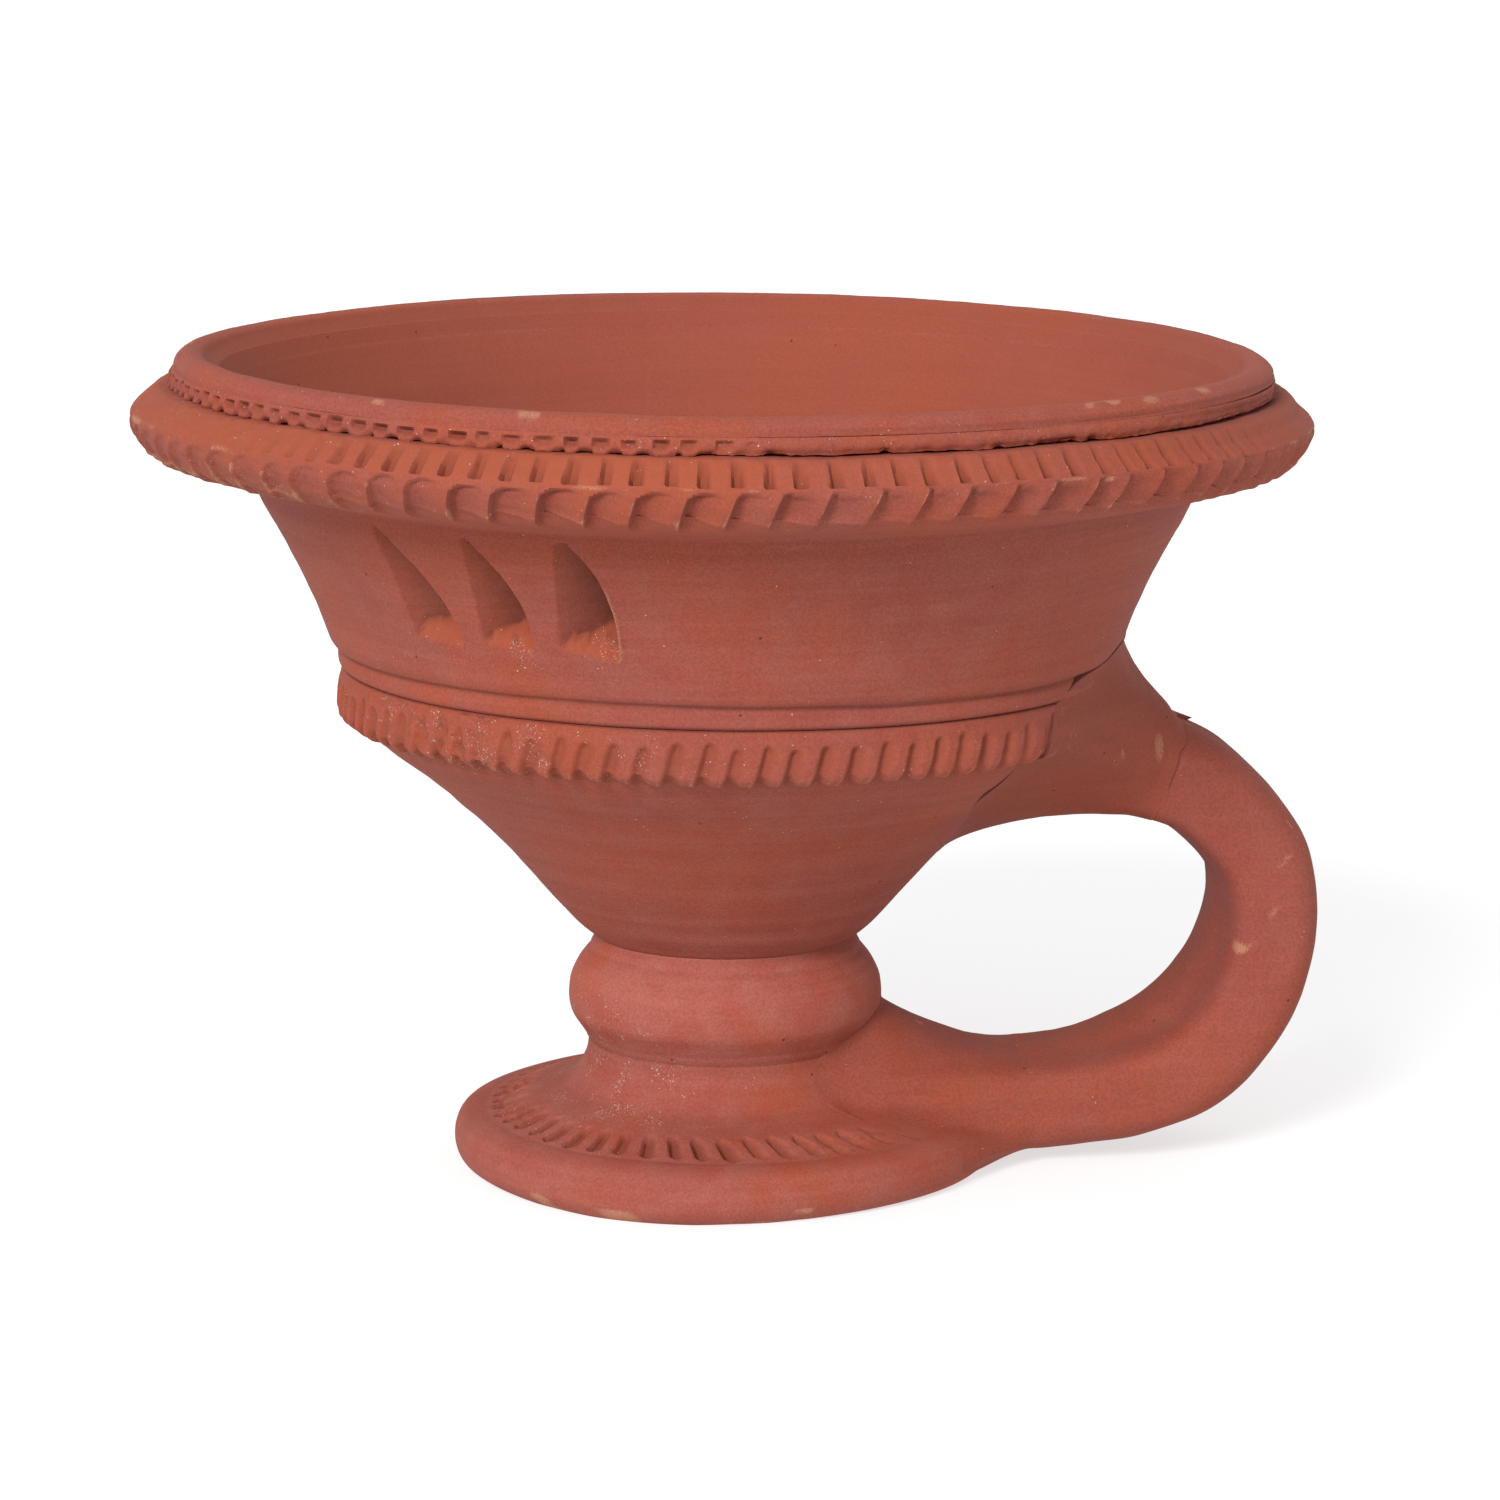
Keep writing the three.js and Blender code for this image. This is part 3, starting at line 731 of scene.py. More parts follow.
class Vent:
    """One gouge: a leaning left face, a floor and a steep, bowed right side."""

    def __init__(self, top, left, right, depth, bow, blunt, burr, turn=0.0):
        self.middle = math.radians(left[0] + turn)

        def place(corner):
            return np.array([math.radians(corner[0] - left[0]) * VENT_RADIUS, corner[1]])

        self.top, self.left, self.right = place(top), place(left), place(right)
        self.depth, self.bow, self.blunt, self.burr = depth, bow, blunt, burr
        self.deep = np.array([self.edge(VENT_DEEPEST) - VENT_SIDE, VENT_DEEPEST])

    def edge(self, height):
        """Where the right edge is, sideways, at a height."""
        part = np.clip((height - self.right[1]) / (self.top[1] - self.right[1]), 0, 1)
        chord = self.right[0] + part * (self.top[0] - self.right[0])
        round_bow = 4 * part * (1 - part)
        blunt_bow = np.where(part < 0.7, 1 - (1 - part / 0.7) ** 1.7, 1 - 0.35 * ((part - 0.7) / 0.3) ** 2)
        return chord + self.bow * ((1 - self.blunt) * round_bow + self.blunt * blunt_bow)

    def sideways(self, angle):
        turned = (angle - self.middle + math.pi) % (2 * math.pi) - math.pi
        return turned * VENT_RADIUS

    def plane(self, a, b, sideways, height):
        """Depth of the plane that is 0 on the line a to b, and full at the deepest point."""
        along = b - a
        cross = along[0] * (height - a[1]) - along[1] * (sideways - a[0])
        full = along[0] * (self.deep[1] - a[1]) - along[1] * (self.deep[0] - a[0])
        return self.depth * cross / full

    def planes(self, sideways, height):
        side = self.plane(self.top, self.left, sideways, height)
        base = self.plane(self.left, self.right, sideways, height)
        base = base * np.clip((sideways - self.left[0]) / (0.6 * self.deep[0]), 0.4, 1)
        steep = (self.edge(height) - sideways) * self.depth / VENT_SIDE
        return side, base, np.where(height > self.top[1], -1.0, steep)

    def steep_foot(self, height):
        """Where the steep side ends on the left face or the floor, sideways, at a height."""
        across = np.linspace(self.left[0] - 1, self.edge(height), 400)
        side, base, steep = self.planes(across, height)
        inside = np.minimum(side, base) <= steep
        return across[inside][-1] if inside.any() else across[-1]

    def snap(self, angle, height, lines, number):
        """Moves the nearest vertices of a fine grid on to the vent's edges and creases."""
        levels = np.median(height, axis=1)
        for line in ("left", "foot", "edge"):
            number += 1
            for i, level in enumerate(levels):
                lowest = self.left[1] if line == "left" else self.right[1]
                if not lowest - 0.2 < level < self.top[1]:
                    continue
                if line == "left":
                    part = np.clip((level - self.left[1]) / (self.top[1] - self.left[1]), 0, 1)
                    target = self.left[0] + part * (self.top[0] - self.left[0])
                else:
                    target = self.edge(level) if line == "edge" else self.steep_foot(level)
                j = int(np.argmin(np.abs(self.sideways(angle[i]) - target)))
                angle[i, j] = self.middle + target / VENT_RADIUS
                lines[i, j] = number
        start = self.sideways(angle[len(levels) // 2])
        for low, high in [(self.left, self.right), (self.left, self.deep)]:
            number += 1
            for j in np.nonzero((start > low[0] - 0.2) & (start < high[0] + 0.2))[0]:
                across = np.clip(start[j], low[0], high[0])
                target = low[1] + (across - low[0]) / (high[0] - low[0]) * (high[1] - low[1])
                i = int(np.argmin(np.abs(height[:, j] - target)))
                if lines[i, j] == 0:
                    height[i, j] = target
                    lines[i, j] = number
        return number


def all_vents():
    front = [Vent(*vent) for vent in VENTS]
    back = []
    for top, left, right, depth, bow, blunt, burr in VENTS:
        turn = abs(left[0]) + abs(right[0])
        back.append(Vent(top, left, right, depth, 0.9 * bow, blunt, 0.6 * burr, turn))
    return front + back


def vent_columns(vents, fine, coarse):
    """Column angles: close together over the vents, wider apart elsewhere."""
    centre, reach = 0.05, 0.13  # of a vent, in radians from its bottom left corner
    angles = [math.radians(-180)]
    while angles[-1] < math.radians(180):
        here = angles[-1]
        near = min(abs((here - v.middle - centre + math.pi) % (2 * math.pi) - math.pi) for v in vents)
        gap = fine if near < reach else coarse
        angles.append(here + gap / VENT_RADIUS)
    angles = np.array(angles[:-1])
    stretch = 2 * math.pi / (angles[-1] - angles[0] + coarse / VENT_RADIUS)
    return angles[0] + (angles - angles[0]) * stretch


def left_inside_shade(angle):
    """Where the inside gets more painted shade near the rim, to the left and right of its back."""
    return bump_at(np.abs(bearing(angle)), 132, 34)


def make_bowl_wall(material):
    seat = 79.2
    runs = [
        (2.5, [(49.1, WAIST_TOP), (58.0, WAIST_TOP)]),
        (0.3, BEAD),
        (0.3, BEAD_TOP),
        (0.42, FLARE),
        (1.6, [(71.7, 106.6), (seat, 112.8)]),
        (2.0, [(seat, 112.8), (seat, COLLAR_TOP)]),
        (2.0, [(seat, COLLAR_TOP), (74.0, COLLAR_TOP)]),
        (1.0, INSIDE_HIGH),
    ]
    rows = Rows(runs, rounding=0.2, sharp=(0, 1, 7))
    vents = all_vents()
    columns = vent_columns(vents, 0.36, 0.85)
    shape = (len(rows.r), len(columns))
    angle = np.broadcast_to(columns[None, :], shape).copy()
    height = np.broadcast_to(rows.z, shape).copy()
    lines = np.zeros(shape, int)
    flare = np.nonzero((rows.run == 3) & (rows.z > 86.0) & (rows.z < 106.4))[0]
    block = slice(flare[0], flare[-1] + 1)
    number = 0
    for vent in vents:
        number = vent.snap(angle[block], height[block], lines[block], number)
    level = rows.z[block, 0]
    radius = np.broadcast_to(rows.r, shape).copy()
    radius[block] = np.interp(height[block], level, rows.r[block, 0])

    x, y = radius * np.cos(angle), radius * np.sin(angle)
    outside = (rows.run >= 1) & (rows.run <= 3)
    inside = rows.run == 7
    flush = 1 - (bump_at(rows.z, WAIST_TOP, 1.5) + bump_at(rows.z, COLLAR_TOP, 1.5)) * inside
    lift = thrown(rows, angle) * (outside + 1.4 * inside) * flush
    wavy = 0.18 * np.sin(3 * angle + 1.0) + 0.12 * lumps(x, y, 0, 9)
    grooves = bump_at(rows.z, WAIST_TOP + 3.15 + wavy, 0.33) * (rows.run <= 3) * outside
    line = bump_at(rows.z, 99.7 + 2 * wavy, 0.3) * (rows.run == 3)
    lift = lift - 0.3 * grooves - 0.06 * line
    fresh = np.zeros(shape)
    patchy = 0.6 + 0.5 * lumps(x, y, 0, 13, 0.2)
    # Painted shade in the grooves, at the join with the waist band and under the collar.
    dark = 0.25 * grooves + 0.30 * bump_at(rows.z, WAIST_TOP + 0.1, 0.2) * outside * patchy
    dark = dark + 0.15 * bump_at(rows.z, 106.5, 0.4) * outside
    salt = np.zeros(shape)
    worn = np.zeros(shape)
    rough = lumps(x, y, height, 0.8) + 0.8 * lumps(x, y, height, 1.7, 0.5)
    for vent in vents:
        sideways = vent.sideways(angle)
        near = (np.abs(sideways - 3) < 14) & outside
        side, base, steep = vent.planes(sideways, height)
        deep = np.minimum(np.minimum(side, base), steep)
        cut = np.where(near & (deep > 0), deep, 0.0)
        floor = near & (deep > 0.02) & (base <= side + 0.05) & (base <= steep + 0.05)
        soft = floor * step(cut, 0.0, 0.6)
        crumbs = np.maximum(0, lumps(x, y, height, 0.75, 0.8) - 0.25)
        lift = lift - cut + soft * (0.20 * rough + 0.8 * crumbs) + 0.07 * rough * (cut > 0.3)
        part = (height - vent.right[1]) / (vent.top[1] - vent.right[1])
        beyond = sideways - vent.edge(height)
        ridge = np.where(near & (beyond > -0.05), np.exp(-((beyond / 0.45) ** 2)), 0)
        ridge = ridge * between(part, -0.04, 0.05, 0.55, 0.85)
        ragged = 0.6 + 0.7 * np.maximum(0, lumps(x, y, height, 1.3, 0.2))
        lift = lift + vent.burr * ridge * ragged
        worn = worn + 0.8 * ridge * (vent.burr > 0.2)
        fresh = fresh + 0.8 * soft + 0.25 * (cut > 0.1)
        # Painted shade in the vents: along the crease, at the deepest point, on the left faces and steep
        # sides. The floors are darker in patches.
        crease = bump_at(side - base, 0, 0.35) * (cut > 0.3) * near
        dark = dark + 0.30 * crease + 0.6 * bump_at(cut, vent.depth, 0.7) * (cut > 0)
        dark = dark + (0.24 + 0.16 * step(cut, 0.3, 3.0)) * (cut > 0.1) * ~floor
        dark = dark + 0.35 * soft * step(lumps(x, y, height, 0.9, 0.1), 0.35, 0.8)
        below = near * np.exp(-(((height - vent.right[1]) / 2.2) ** 2) - (((sideways - 6) / 3.2) ** 2))
        salt = salt + 0.5 * soft * step(sideways, 2, 5) + 0.4 * below
    streak = lumps(x * 0.5, y * 0.5, height * 1.5, 3.1, 0.9)
    worn = worn + 0.40 * step(streak, 0.60, 0.85) * outside
    salt = salt + 0.012 * outside
    # Painted shade over the inside, more near the rim to the left and right of its back.
    left_shade = left_inside_shade(angle) * step(rows.z, 100, 112)
    fresh = fresh + 0.65 * inside
    dark = dark + (0.12 + 0.07 * left_shade) * inside

    def split(quads, triangles):
        """Cuts the quads along the vents' edges, from snapped vertex to snapped vertex."""
        flat = lines.ravel()
        marks = flat[quads]
        forward = (marks[:, 0] > 0) & (marks[:, 0] == marks[:, 2])
        other = (marks[:, 1] > 0) & (marks[:, 1] == marks[:, 3]) & ~forward
        first = quads[forward]
        second = quads[other]
        halves = [first[:, [0, 1, 2]], first[:, [0, 2, 3]], second[:, [0, 1, 3]], second[:, [1, 2, 3]]]
        return quads[~(forward | other)], np.concatenate([triangles, *halves])

    paint = {"fresh": fresh, "dark": dark, "salt": salt, "worn": worn}
    add_turned("bowl_wall", rows, angle, lift, material, paint, radius, height, split)


def make_collar(material):
    inner = 79.5
    foot = 72.0
    edge_low = 110.3
    outer = [(87.2, edge_low), (88.9, 112.4), (COLLAR_RADIUS - 0.15, 114.8), (89.6, 116.4), (88.4, 117.8)]
    runs = [
        (1.0, [(foot, 106.7), (84.6, 109.6)]),
        (0.45, [(84.6, 109.6), (87.2, edge_low)]),
        (0.34, outer),
        (0.36, [(88.4, 117.8), (86.7, 119.1), (84.9, COLLAR_TOP)]),
        (1.3, [(84.9, COLLAR_TOP), (inner, COLLAR_TOP + 0.05)]),
        (2.4, [(inner, COLLAR_TOP + 0.05), (inner, 112.8)]),
        (2.4, [(inner, 112.8), (foot, 106.7)]),
    ]
    rows = Rows(runs, rounding=0.3)
    count, upper = 84, 122
    edges = notch_edges(count, 31, 0.11)
    columns = notch_columns(edges, 14)
    around = bearing(columns)
    low_face = (rows.run == 1) | (rows.run == 2)
    high_face = (rows.run == 2) | (rows.run == 3)
    lean = np.clip(rows.z - 112.8, -2.6, 3.4) * 0.0038
    lean = lean * (1 - step(rows.z, 115.8, 117.0)) * ((rows.run >= 1) & (rows.run <= 3))
    angle = columns + lean
    x, y = rows.place(angle)
    number, across = in_notch(columns, edges)
    random = np.random.default_rng(32)
    depth = random.uniform(1.2, 1.7, count)[number]
    # On the left half the dents have round tops. Further right they run out upwards.
    running = between(around, -100, -84, 84, 112)
    top = 116.0 + random.uniform(-0.4, 0.25, count)[number]
    top = top - (5.5 - 3.5 * running) * np.maximum(0, across - 0.42) ** 2
    top = top - 9.0 * np.maximum(0, 0.26 - across) ** 1.4 * (1 - running) + 0.5 * running
    ramp_end = random.uniform(0.80, 0.92, count)[number] + 0.08 * running
    wall = step(across, 0.02, 0.11 + 0.08 * running)
    wall = wall * (1 - np.clip((across - 0.2) / (ramp_end - 0.2), 0, 1) ** 1.25)
    under = step(rows.r, 83.4, 86.6) * (rows.run <= 1) + (rows.run >= 2)
    zone = (1 - step(rows.z, top - 0.7 - 2.6 * running * step(across, 0.08, 0.3), top)) * low_face * under
    gentle = 0.36 + 0.64 * between(around, -142, -104, 140, 165)
    steep = between(around, -64, -36, 30, 60)
    zone = zone * (1 - 0.6 * running * (1 - steep) * (1 - step(rows.z, edge_low - 0.4, edge_low + 2.0)))
    press = depth * wall * zone * gentle * (1 + 0.2 * steep)
    ridge = bump_at(across, 0.99, 0.05) + bump_at(across, 0.01, 0.04)
    burr = bump_at(rows.z, edge_low + 0.2, 0.45) * (rows.run <= 2) * random.uniform(0, 1, count)[number]

    tight = notch_edges(upper, 33)
    second, over = in_notch(columns, tight)
    sharp = random.uniform(0.95, 1.4, upper)[second]
    part = np.clip((119.4 - rows.z) / 2.9, 0, 1)
    slot = between(over, 0.16 - 0.08 * part, 0.25 - 0.08 * part, 0.38, 0.56)
    shown = between(around, -150, -122, -46, -26)
    shown = np.maximum(shown, 0.8 * between(around, 20, 45, 120, 150))
    bottom = 116.75 + random.uniform(-0.15, 0.15, upper)[second]
    band = between(rows.z, bottom - 0.12, bottom + 0.35, 119.45, 119.8) * high_face
    band = band * step(rows.z + 0.35 * (rows.r < 88.6), 116.5, 116.8)
    band = band * shown
    pressed = sharp * slot * band * (0.5 + 0.6 * part)

    rough = lumps(x, y, rows.z, 0.9, 0.3) + lumps(x, y, rows.z, 2.2, 0.6)
    face = (rows.run >= 1) & (rows.run <= 4)
    coarse = 1 + 2.4 * bump_at(around, -154, 26)
    lift = face * (0.055 * rough * coarse + 0.13 * lumps(x, y, rows.z, 8)) - press - pressed
    lift = lift + 0.12 * ridge * zone + 0.22 * burr + 0.15 * bump_at(over, 0.07, 0.05) * band
    below = rows.run == 0
    lift = lift + 0.06 * rough * below
    # The coil is a little thinner than its CAD piece, mostly beside the handle.
    lift = lift - (0.75 + 0.35 * np.cos(angle)) * step(rows.r, 84.8, 87.5)
    lift = np.where(rows.run >= 5, 0.0, lift)

    strip = bump_at(rows.z, 116.2, 0.5) * (rows.run == 2)
    marks = lumps(x * 0.45, y * 0.45, rows.z, 2.0, 0.7)
    worn = 0.75 * strip * step(marks, 0.05, 0.55) + 0.75 * ridge * zone * step(marks, -0.3, 0.4)
    worn = worn + 0.55 * burr + 0.5 * bump_at(over, 0.08, 0.05) * band
    chip = bump_at(around, -58.1, 0.55) * bump_at(rows.z, 115.6, 0.7)
    lift = lift - 0.5 * chip
    # A tan bloom at the left end, darkened with painted shade, and painted shade on top beside the handle,
    # under the lip.
    bloom = bump_at(around, -160, 30) * face
    under_lip_shade = between(around, -78, -46, 20, 60) * step(rows.z, 116.4, 117.6) * face
    dent_wall_shade = bump_at(across, 0.06 + 0.05 * steep, 0.05 + 0.05 * steep) * zone * gentle
    fresh = 0.55 * slot * band + 0.55 * step(rows.z, 116.0, 117.0) * high_face
    # dark: painted shade in the dents, on their left walls, in the upper notches and along their left
    # edges, and in the join under the collar.
    dark = 0.08 * press + 0.12 * bloom + 0.14 * under_lip_shade + 0.36 * dent_wall_shade + 0.32 * pressed
    dark = dark + 0.2 * bump_at(rows.r, foot, 0.8) * below + 0.25 * bump_at(over, 0.13, 0.04) * band
    paint = {
        "worn": worn + 1.2 * chip + 0.32 * bloom,
        "fresh": fresh * (1 - 0.2 * running) + 0.45 * face * (1 - wall * zone) * (1 - 0.7 * running),
        "salt": (0.03 + 0.12 * bump_at(around, -146, 26)) * face,
        "dark": dark,
    }
    add_turned("collar", rows, angle, lift, material, paint)


def make_rim_rope(material):
    low, high = COLLAR_TOP + 0.05, ROPE_TOP + 0.2
    runs = [
        (2.0, [(74.0, COLLAR_TOP), (81.8, low)]),
        (0.3, [(81.8, low), (83.3, low - 0.1)]),
        (0.22, [(83.3, low - 0.1), (83.5, low + 1.0), (83.2, high - 0.5), (82.8, high)]),
        (2.0, [(82.8, high), (81.8, high)]),
        (2.0, [(81.8, high), (76.0, high)]),
        (0.8, [(76.0, high), (74.0, COLLAR_TOP)]),
    ]
    rows = Rows(runs, rounding=0.15, sharp=(0, 3, 5))
    count = 124
    edges = notch_edges(count, 41)
    columns = notch_columns(edges, 12)
    around = bearing(columns)
    number, across = in_notch(columns, edges)
    random = np.random.default_rng(42)
    depth = random.uniform(0.6, 1.15, count)[number]
    ceiling = high - 0.4 + random.uniform(-0.2, 0.15, count)[number]
    width = random.uniform(0.42, 0.62, count)[number]
    dent = between(across, 0.08, 0.20, width, width + 0.22)
    crisp = 1 - step(around, -100, -88)
    face = (rows.run >= 1) & (rows.run <= 3)
    crisp = np.maximum(crisp * step(around, -185, -178), step(around, 60, 80)) * face
    press = depth * dent * (1 - step(rows.z, ceiling - 0.16, ceiling)) * np.clip((rows.z - low) / 1.5, 0, 1)
    press = press * crisp
    x, y = rows.place(columns)
    bulge = bump_at(rows.z, low + 0.35, 0.5) * dent * crisp
    gap = random.uniform(0.0, 0.8, count)[number]
    tucked = bump_at(rows.z, low, 0.55) * (1 - dent) * crisp * gap
    rough = lumps(x, y, rows.z, 0.9, 0.3)
    wave = lumps(x, y, 0, 3.4, 0.6)
    # On the front right the strip has no dents, only a torn lower edge.
    torn = between(around, -100, -90, -62, -40) * bump_at(rows.z, low + 0.2, 0.8) * face
    torn = torn * (0.35 + np.clip(lumps(x, y, 0, 1.6, 0.2), 0, 1.5))
    flush = 1 - bump_at(rows.z, high, 0.5)
    lift = face * (0.12 * rough + 0.18 * wave) * flush - press + 0.5 * bulge - 0.7 * tucked - 0.95 * torn
    lift = lift - face * 0.9 * between(around, -60, -25, 20, 58) * flush
    lift = np.where(rows.run >= 4, 0.0, lift)
    inside = rows.run == 5
    # Painted shade in the dents, in the tucked gaps, along the dents' tops and over the inside.
    dark = 0.25 * press + 0.5 * tucked + 0.5 * bump_at(rows.z, ceiling - 0.1, 0.14) * dent * crisp
    paint = {
        "fresh": 0.3 * dent * face + 0.65 * inside + 0.7 * torn,
        "salt": 0.16 * face,
        "dark": dark + (0.15 + 0.07 * left_inside_shade(columns)) * inside,
    }
    add_turned("rim_rope", rows, columns, lift, material, paint)


def make_rim_lip(material):
    low = ROPE_TOP + 0.2
    round_top = [(82.8, low), (82.7, low + 0.9), (82.0, RIM_TOP - 0.7)]
    round_top += [(80.9, RIM_TOP - 0.08), (80.0, RIM_TOP)]
    runs = [
        (1.6, [(76.0, low), (82.2, low)]),
        (0.3, [(82.2, low), (82.8, low)]),
        (0.3, round_top),
        (0.4, [(80.0, RIM_TOP), (78.6, RIM_TOP - 0.45), (77.7, RIM_TOP - 1.3), (76.0, low)]),
    ]
    rows = Rows(runs, rounding=0.2, sharp=(0, 2))
    angle = full_turn(760)[None, :]
    around = bearing(angle)
    x, y = rows.place(angle)
    shown = (rows.run >= 1) * (1 - bump_at(rows.z, low, 0.7) * (rows.run == 3))
    rough = lumps(x, y, rows.z, 1.2, 0.3)
    lift = 0.035 * rough + 0.09 * lumps(x, y, rows.z, 7.5) + 0.06 * lumps(x, y, 0, 19, 0.3)
    right = between(around, -96, -70, 60, 90)
    first = bump_at(rows.z, low + 0.75, 0.16)
    second = bump_at(rows.z, low + 0.15 + 0.1 * np.sin(5 * angle), 0.14)
    outer = (rows.run == 1) | (rows.run == 2)
    grooved = right * outer
    lift = lift - (0.34 * first + 0.28 * second) * grooved
    lift = lift * shown
    crest = bump_at(rows.r, 81.4, 1.2) * (rows.run >= 2)
    scuffs = bump_at(around, -44, 18)
    marks = lumps(x * 0.5, y * 0.5, rows.z, 1.7, 0.7) + 0.3 * scuffs
    more = lumps(x, y, rows.z, 6.0, 0.1) + 0.3 * scuffs
    inside = (rows.run == 3) * (1 - step(rows.z, 124.2, 124.9))
    # Painted shade in the incised lines and the gap under the lip, and over its inner face.
    dark = (0.3 * (first + second) + 0.1 * bump_at(rows.z, low, 0.2)) * grooved
    paint = {
        "fresh": 0.65 * inside,
        "worn": 0.8 * crest * step(marks, 0.20, 0.6) * step(more, -0.25, 0.25),
        "salt": 0.02 * outer,
        "dark": dark + (0.17 + 0.07 * left_inside_shade(angle)) * inside,
    }
    add_turned("rim_lip", rows, angle, lift, material, paint)


# ---------------------------------------------------------------- handle

# Middle line of the strap: x, z, thickness and how far its inner side swells at the back.
STRAP_LINE = [(61.8, 61.6, 15.0, 0.0), (66.9, 60.3, 15.0, 0.0), (71.6, 58.2, 14.8, 0.0)]
STRAP_LINE += [(76.8, 54.0, 14.6, 0.0), (82.1, 47.2, 14.4, 0.0), (84.0, 38.6, 14.4, 0.5)]
STRAP_LINE += [(82.6, 29.0, 14.4, 1.4), (78.0, 20.0, 14.4, 2.0), (71.0, 13.4, 14.4, 2.1)]
STRAP_LINE += [(62.6, 10.2, 14.4, 1.4), (53.6, 8.9, 14.2, 0.2)]
STRAP_LINE += [(47.0, 8.4, 14.2, 0.0), (43.8, 8.3, 14.2, 0.0)]
STRAP_DEPTH = 28.0
STRAP_SPOTS = [(84.6, 47.6, 2.6, 1.0), (83.0, 39.6, 1.9, 1.2), (79.0, 34.0, 1.3, 0.8)]
STRAP_ENDS = 12  # stations at each end of the strap that lie inside the wads
AROUND = 260  # points round the strap and its wads
WAD_STEPS = 84  # rings of points from the strap's seam to the wad's edge


def strap_section(station, direction, grow=0.0):
    """Points round the strap: 0 degrees faces away from the hand, 90 degrees towards +Y."""
    turn = full_turn(AROUND)
    centre, thickness, swell = station[:2], station[2], station[3]
    outward = np.array([-direction[1], direction[0]])
    c, s = np.cos(turn), np.sin(turn)
    power = np.where(c > 0, 3.4, 5.5)
    reach = (np.abs(c) ** power + np.abs(s) ** power) ** (-1 / power)
    away = (thickness / 2 + grow) * c * reach
    sideways = (STRAP_DEPTH / 2 + grow) * s * reach
    away = away - swell * step(sideways, -7, 6) * step(-c * reach, 0.0, 0.9)
    return np.stack([centre[0] + outward[0] * away, sideways, centre[1] + outward[1] * away], 1)


def strap_unevenness(x, y, z):
    """How far finger marks push the strap's skin out, in mm."""
    return 0.30 * lumps(x, y, z, 17) + 0.14 * lumps(x, y, z, 6.5, 0.4) + 0.03 * lumps(x, y, z, 1.6)


def ring_skin(rings):
    """Faces of a skin over rings of points, with a point in the middle of each end."""
    count, columns = rings.shape[:2]
    quads = grid_faces(count, columns, False)[:, [0, 3, 2, 1]]
    points = np.concatenate([rings.reshape(-1, 3), [rings[0].mean(0)], [rings[-1].mean(0)]])
    first = fan(count * columns, 0, columns)
    last = fan(count * columns + 1, (count - 1) * columns, columns, turned=True)
    return points, quads, np.concatenate([first, last])


def ring_normals(rings):
    """Outward directions on a skin of rings."""
    along = np.gradient(rings, axis=0)
    around = np.roll(rings, -1, 1) - np.roll(rings, 1, 1)
    normal = np.cross(along, around)
    return normal / np.maximum(np.linalg.norm(normal, axis=2), 1e-9)[..., None]


def padded_paint(values):
    return np.append(values.ravel(), [0, 0])


def make_handle_arch(material):
    line = smooth_line(STRAP_LINE, 0.7)
    direction = np.gradient(line[:, :2], axis=0)
    direction /= np.linalg.norm(direction, axis=1)[:, None]
    # The strap's ends are slimmer, inside the wads.
    slim = np.zeros(len(line))
    slim[:STRAP_ENDS] = 1 - step(line[:STRAP_ENDS, 0], 63.0, 66.8)
    slim[-STRAP_ENDS:] = 1 - step(line[-STRAP_ENDS:, 0], 43.5, 46.6)
    sections = [strap_section(*station) for station in zip(line, direction, -1.5 * slim)]
    rings = np.stack(sections)
    out = ring_normals(rings)
    x, y, z = rings[..., 0], rings[..., 1], rings[..., 2]
    turn = full_turn(AROUND)[None, :]
    inner_ridge = 0.5 * bump_at(np.abs(turn - math.pi), 0, 0.30) * step(np.abs(z - 35), 26, 16)
    rings = rings + out * (strap_unevenness(x, y, z) + inner_ridge)[..., None]
    worn = step(lumps(x, y, z * 0.5, 3.2, 0.7), 0.72, 0.9)
    # Long scuffs on the front edge of the strap.
    for spot_x, spot_z, long, slope in STRAP_SPOTS:
        along = ((x - spot_x) + (z - spot_z) * slope) / math.hypot(1, slope)
        over = ((z - spot_z) - (x - spot_x) * slope) / math.hypot(1, slope)
        spot = np.exp(-((along / long) ** 2) - (over / 0.7) ** 2) * (y < -9)
        worn = worn + spot * (0.75 + 0.3 * lumps(x, y, z, 1.2))
    points, quads, triangles = ring_skin(rings)
    paint = {"worn": padded_paint(0.9 * worn), "salt": 0.012}
    add_piece("handle_arch", points, quads, triangles, paint, material)


def pot_line():
    """The pot's outside as [radius, height] points, and the outward direction at each."""
    parts = [FOOT_EDGE, FOOT_RING, FOOT_CONE, KNOP, CONE]
    line = np.concatenate([smooth_line(part, 0.25)[:-1] for part in parts])
    waist = [(55.4, 69.0), (57.4, 69.1), (58.7, 70.0), (59.0, 72.6)]
    waist += [(58.6, 75.2), (57.9, 76.8), (58.6, 78.0)]
    upper = [smooth_line(waist, 0.25)[:-1], smooth_line([(58.6, 78.0), (59.2, 80.2), *FLARE], 0.25)]
    line = np.concatenate([line, *upper])
    along = np.gradient(line, axis=0)
    along /= np.linalg.norm(along, axis=1)[:, None]
    out = np.stack([along[:, 1], -along[:, 0]], 1)
    lengths = np.concatenate([[0], np.cumsum(np.linalg.norm(np.diff(line, axis=0), axis=1))])
    return line, out, lengths


def on_pot(angle, length):
    """Point on the pot's outside, a length up its line from the base, and the direction out of it."""
    line, out, lengths = pot_line()
    r = np.interp(length, lengths, line[:, 0])
    z = np.interp(length, lengths, line[:, 1])
    nr = np.interp(length, lengths, out[:, 0])
    nz = np.interp(length, lengths, out[:, 1])
    c, s = np.cos(angle), np.sin(angle)
    place = np.stack([r * c, r * s, z], -1)
    return place, np.stack([nr * c, nr * s, nz], -1)


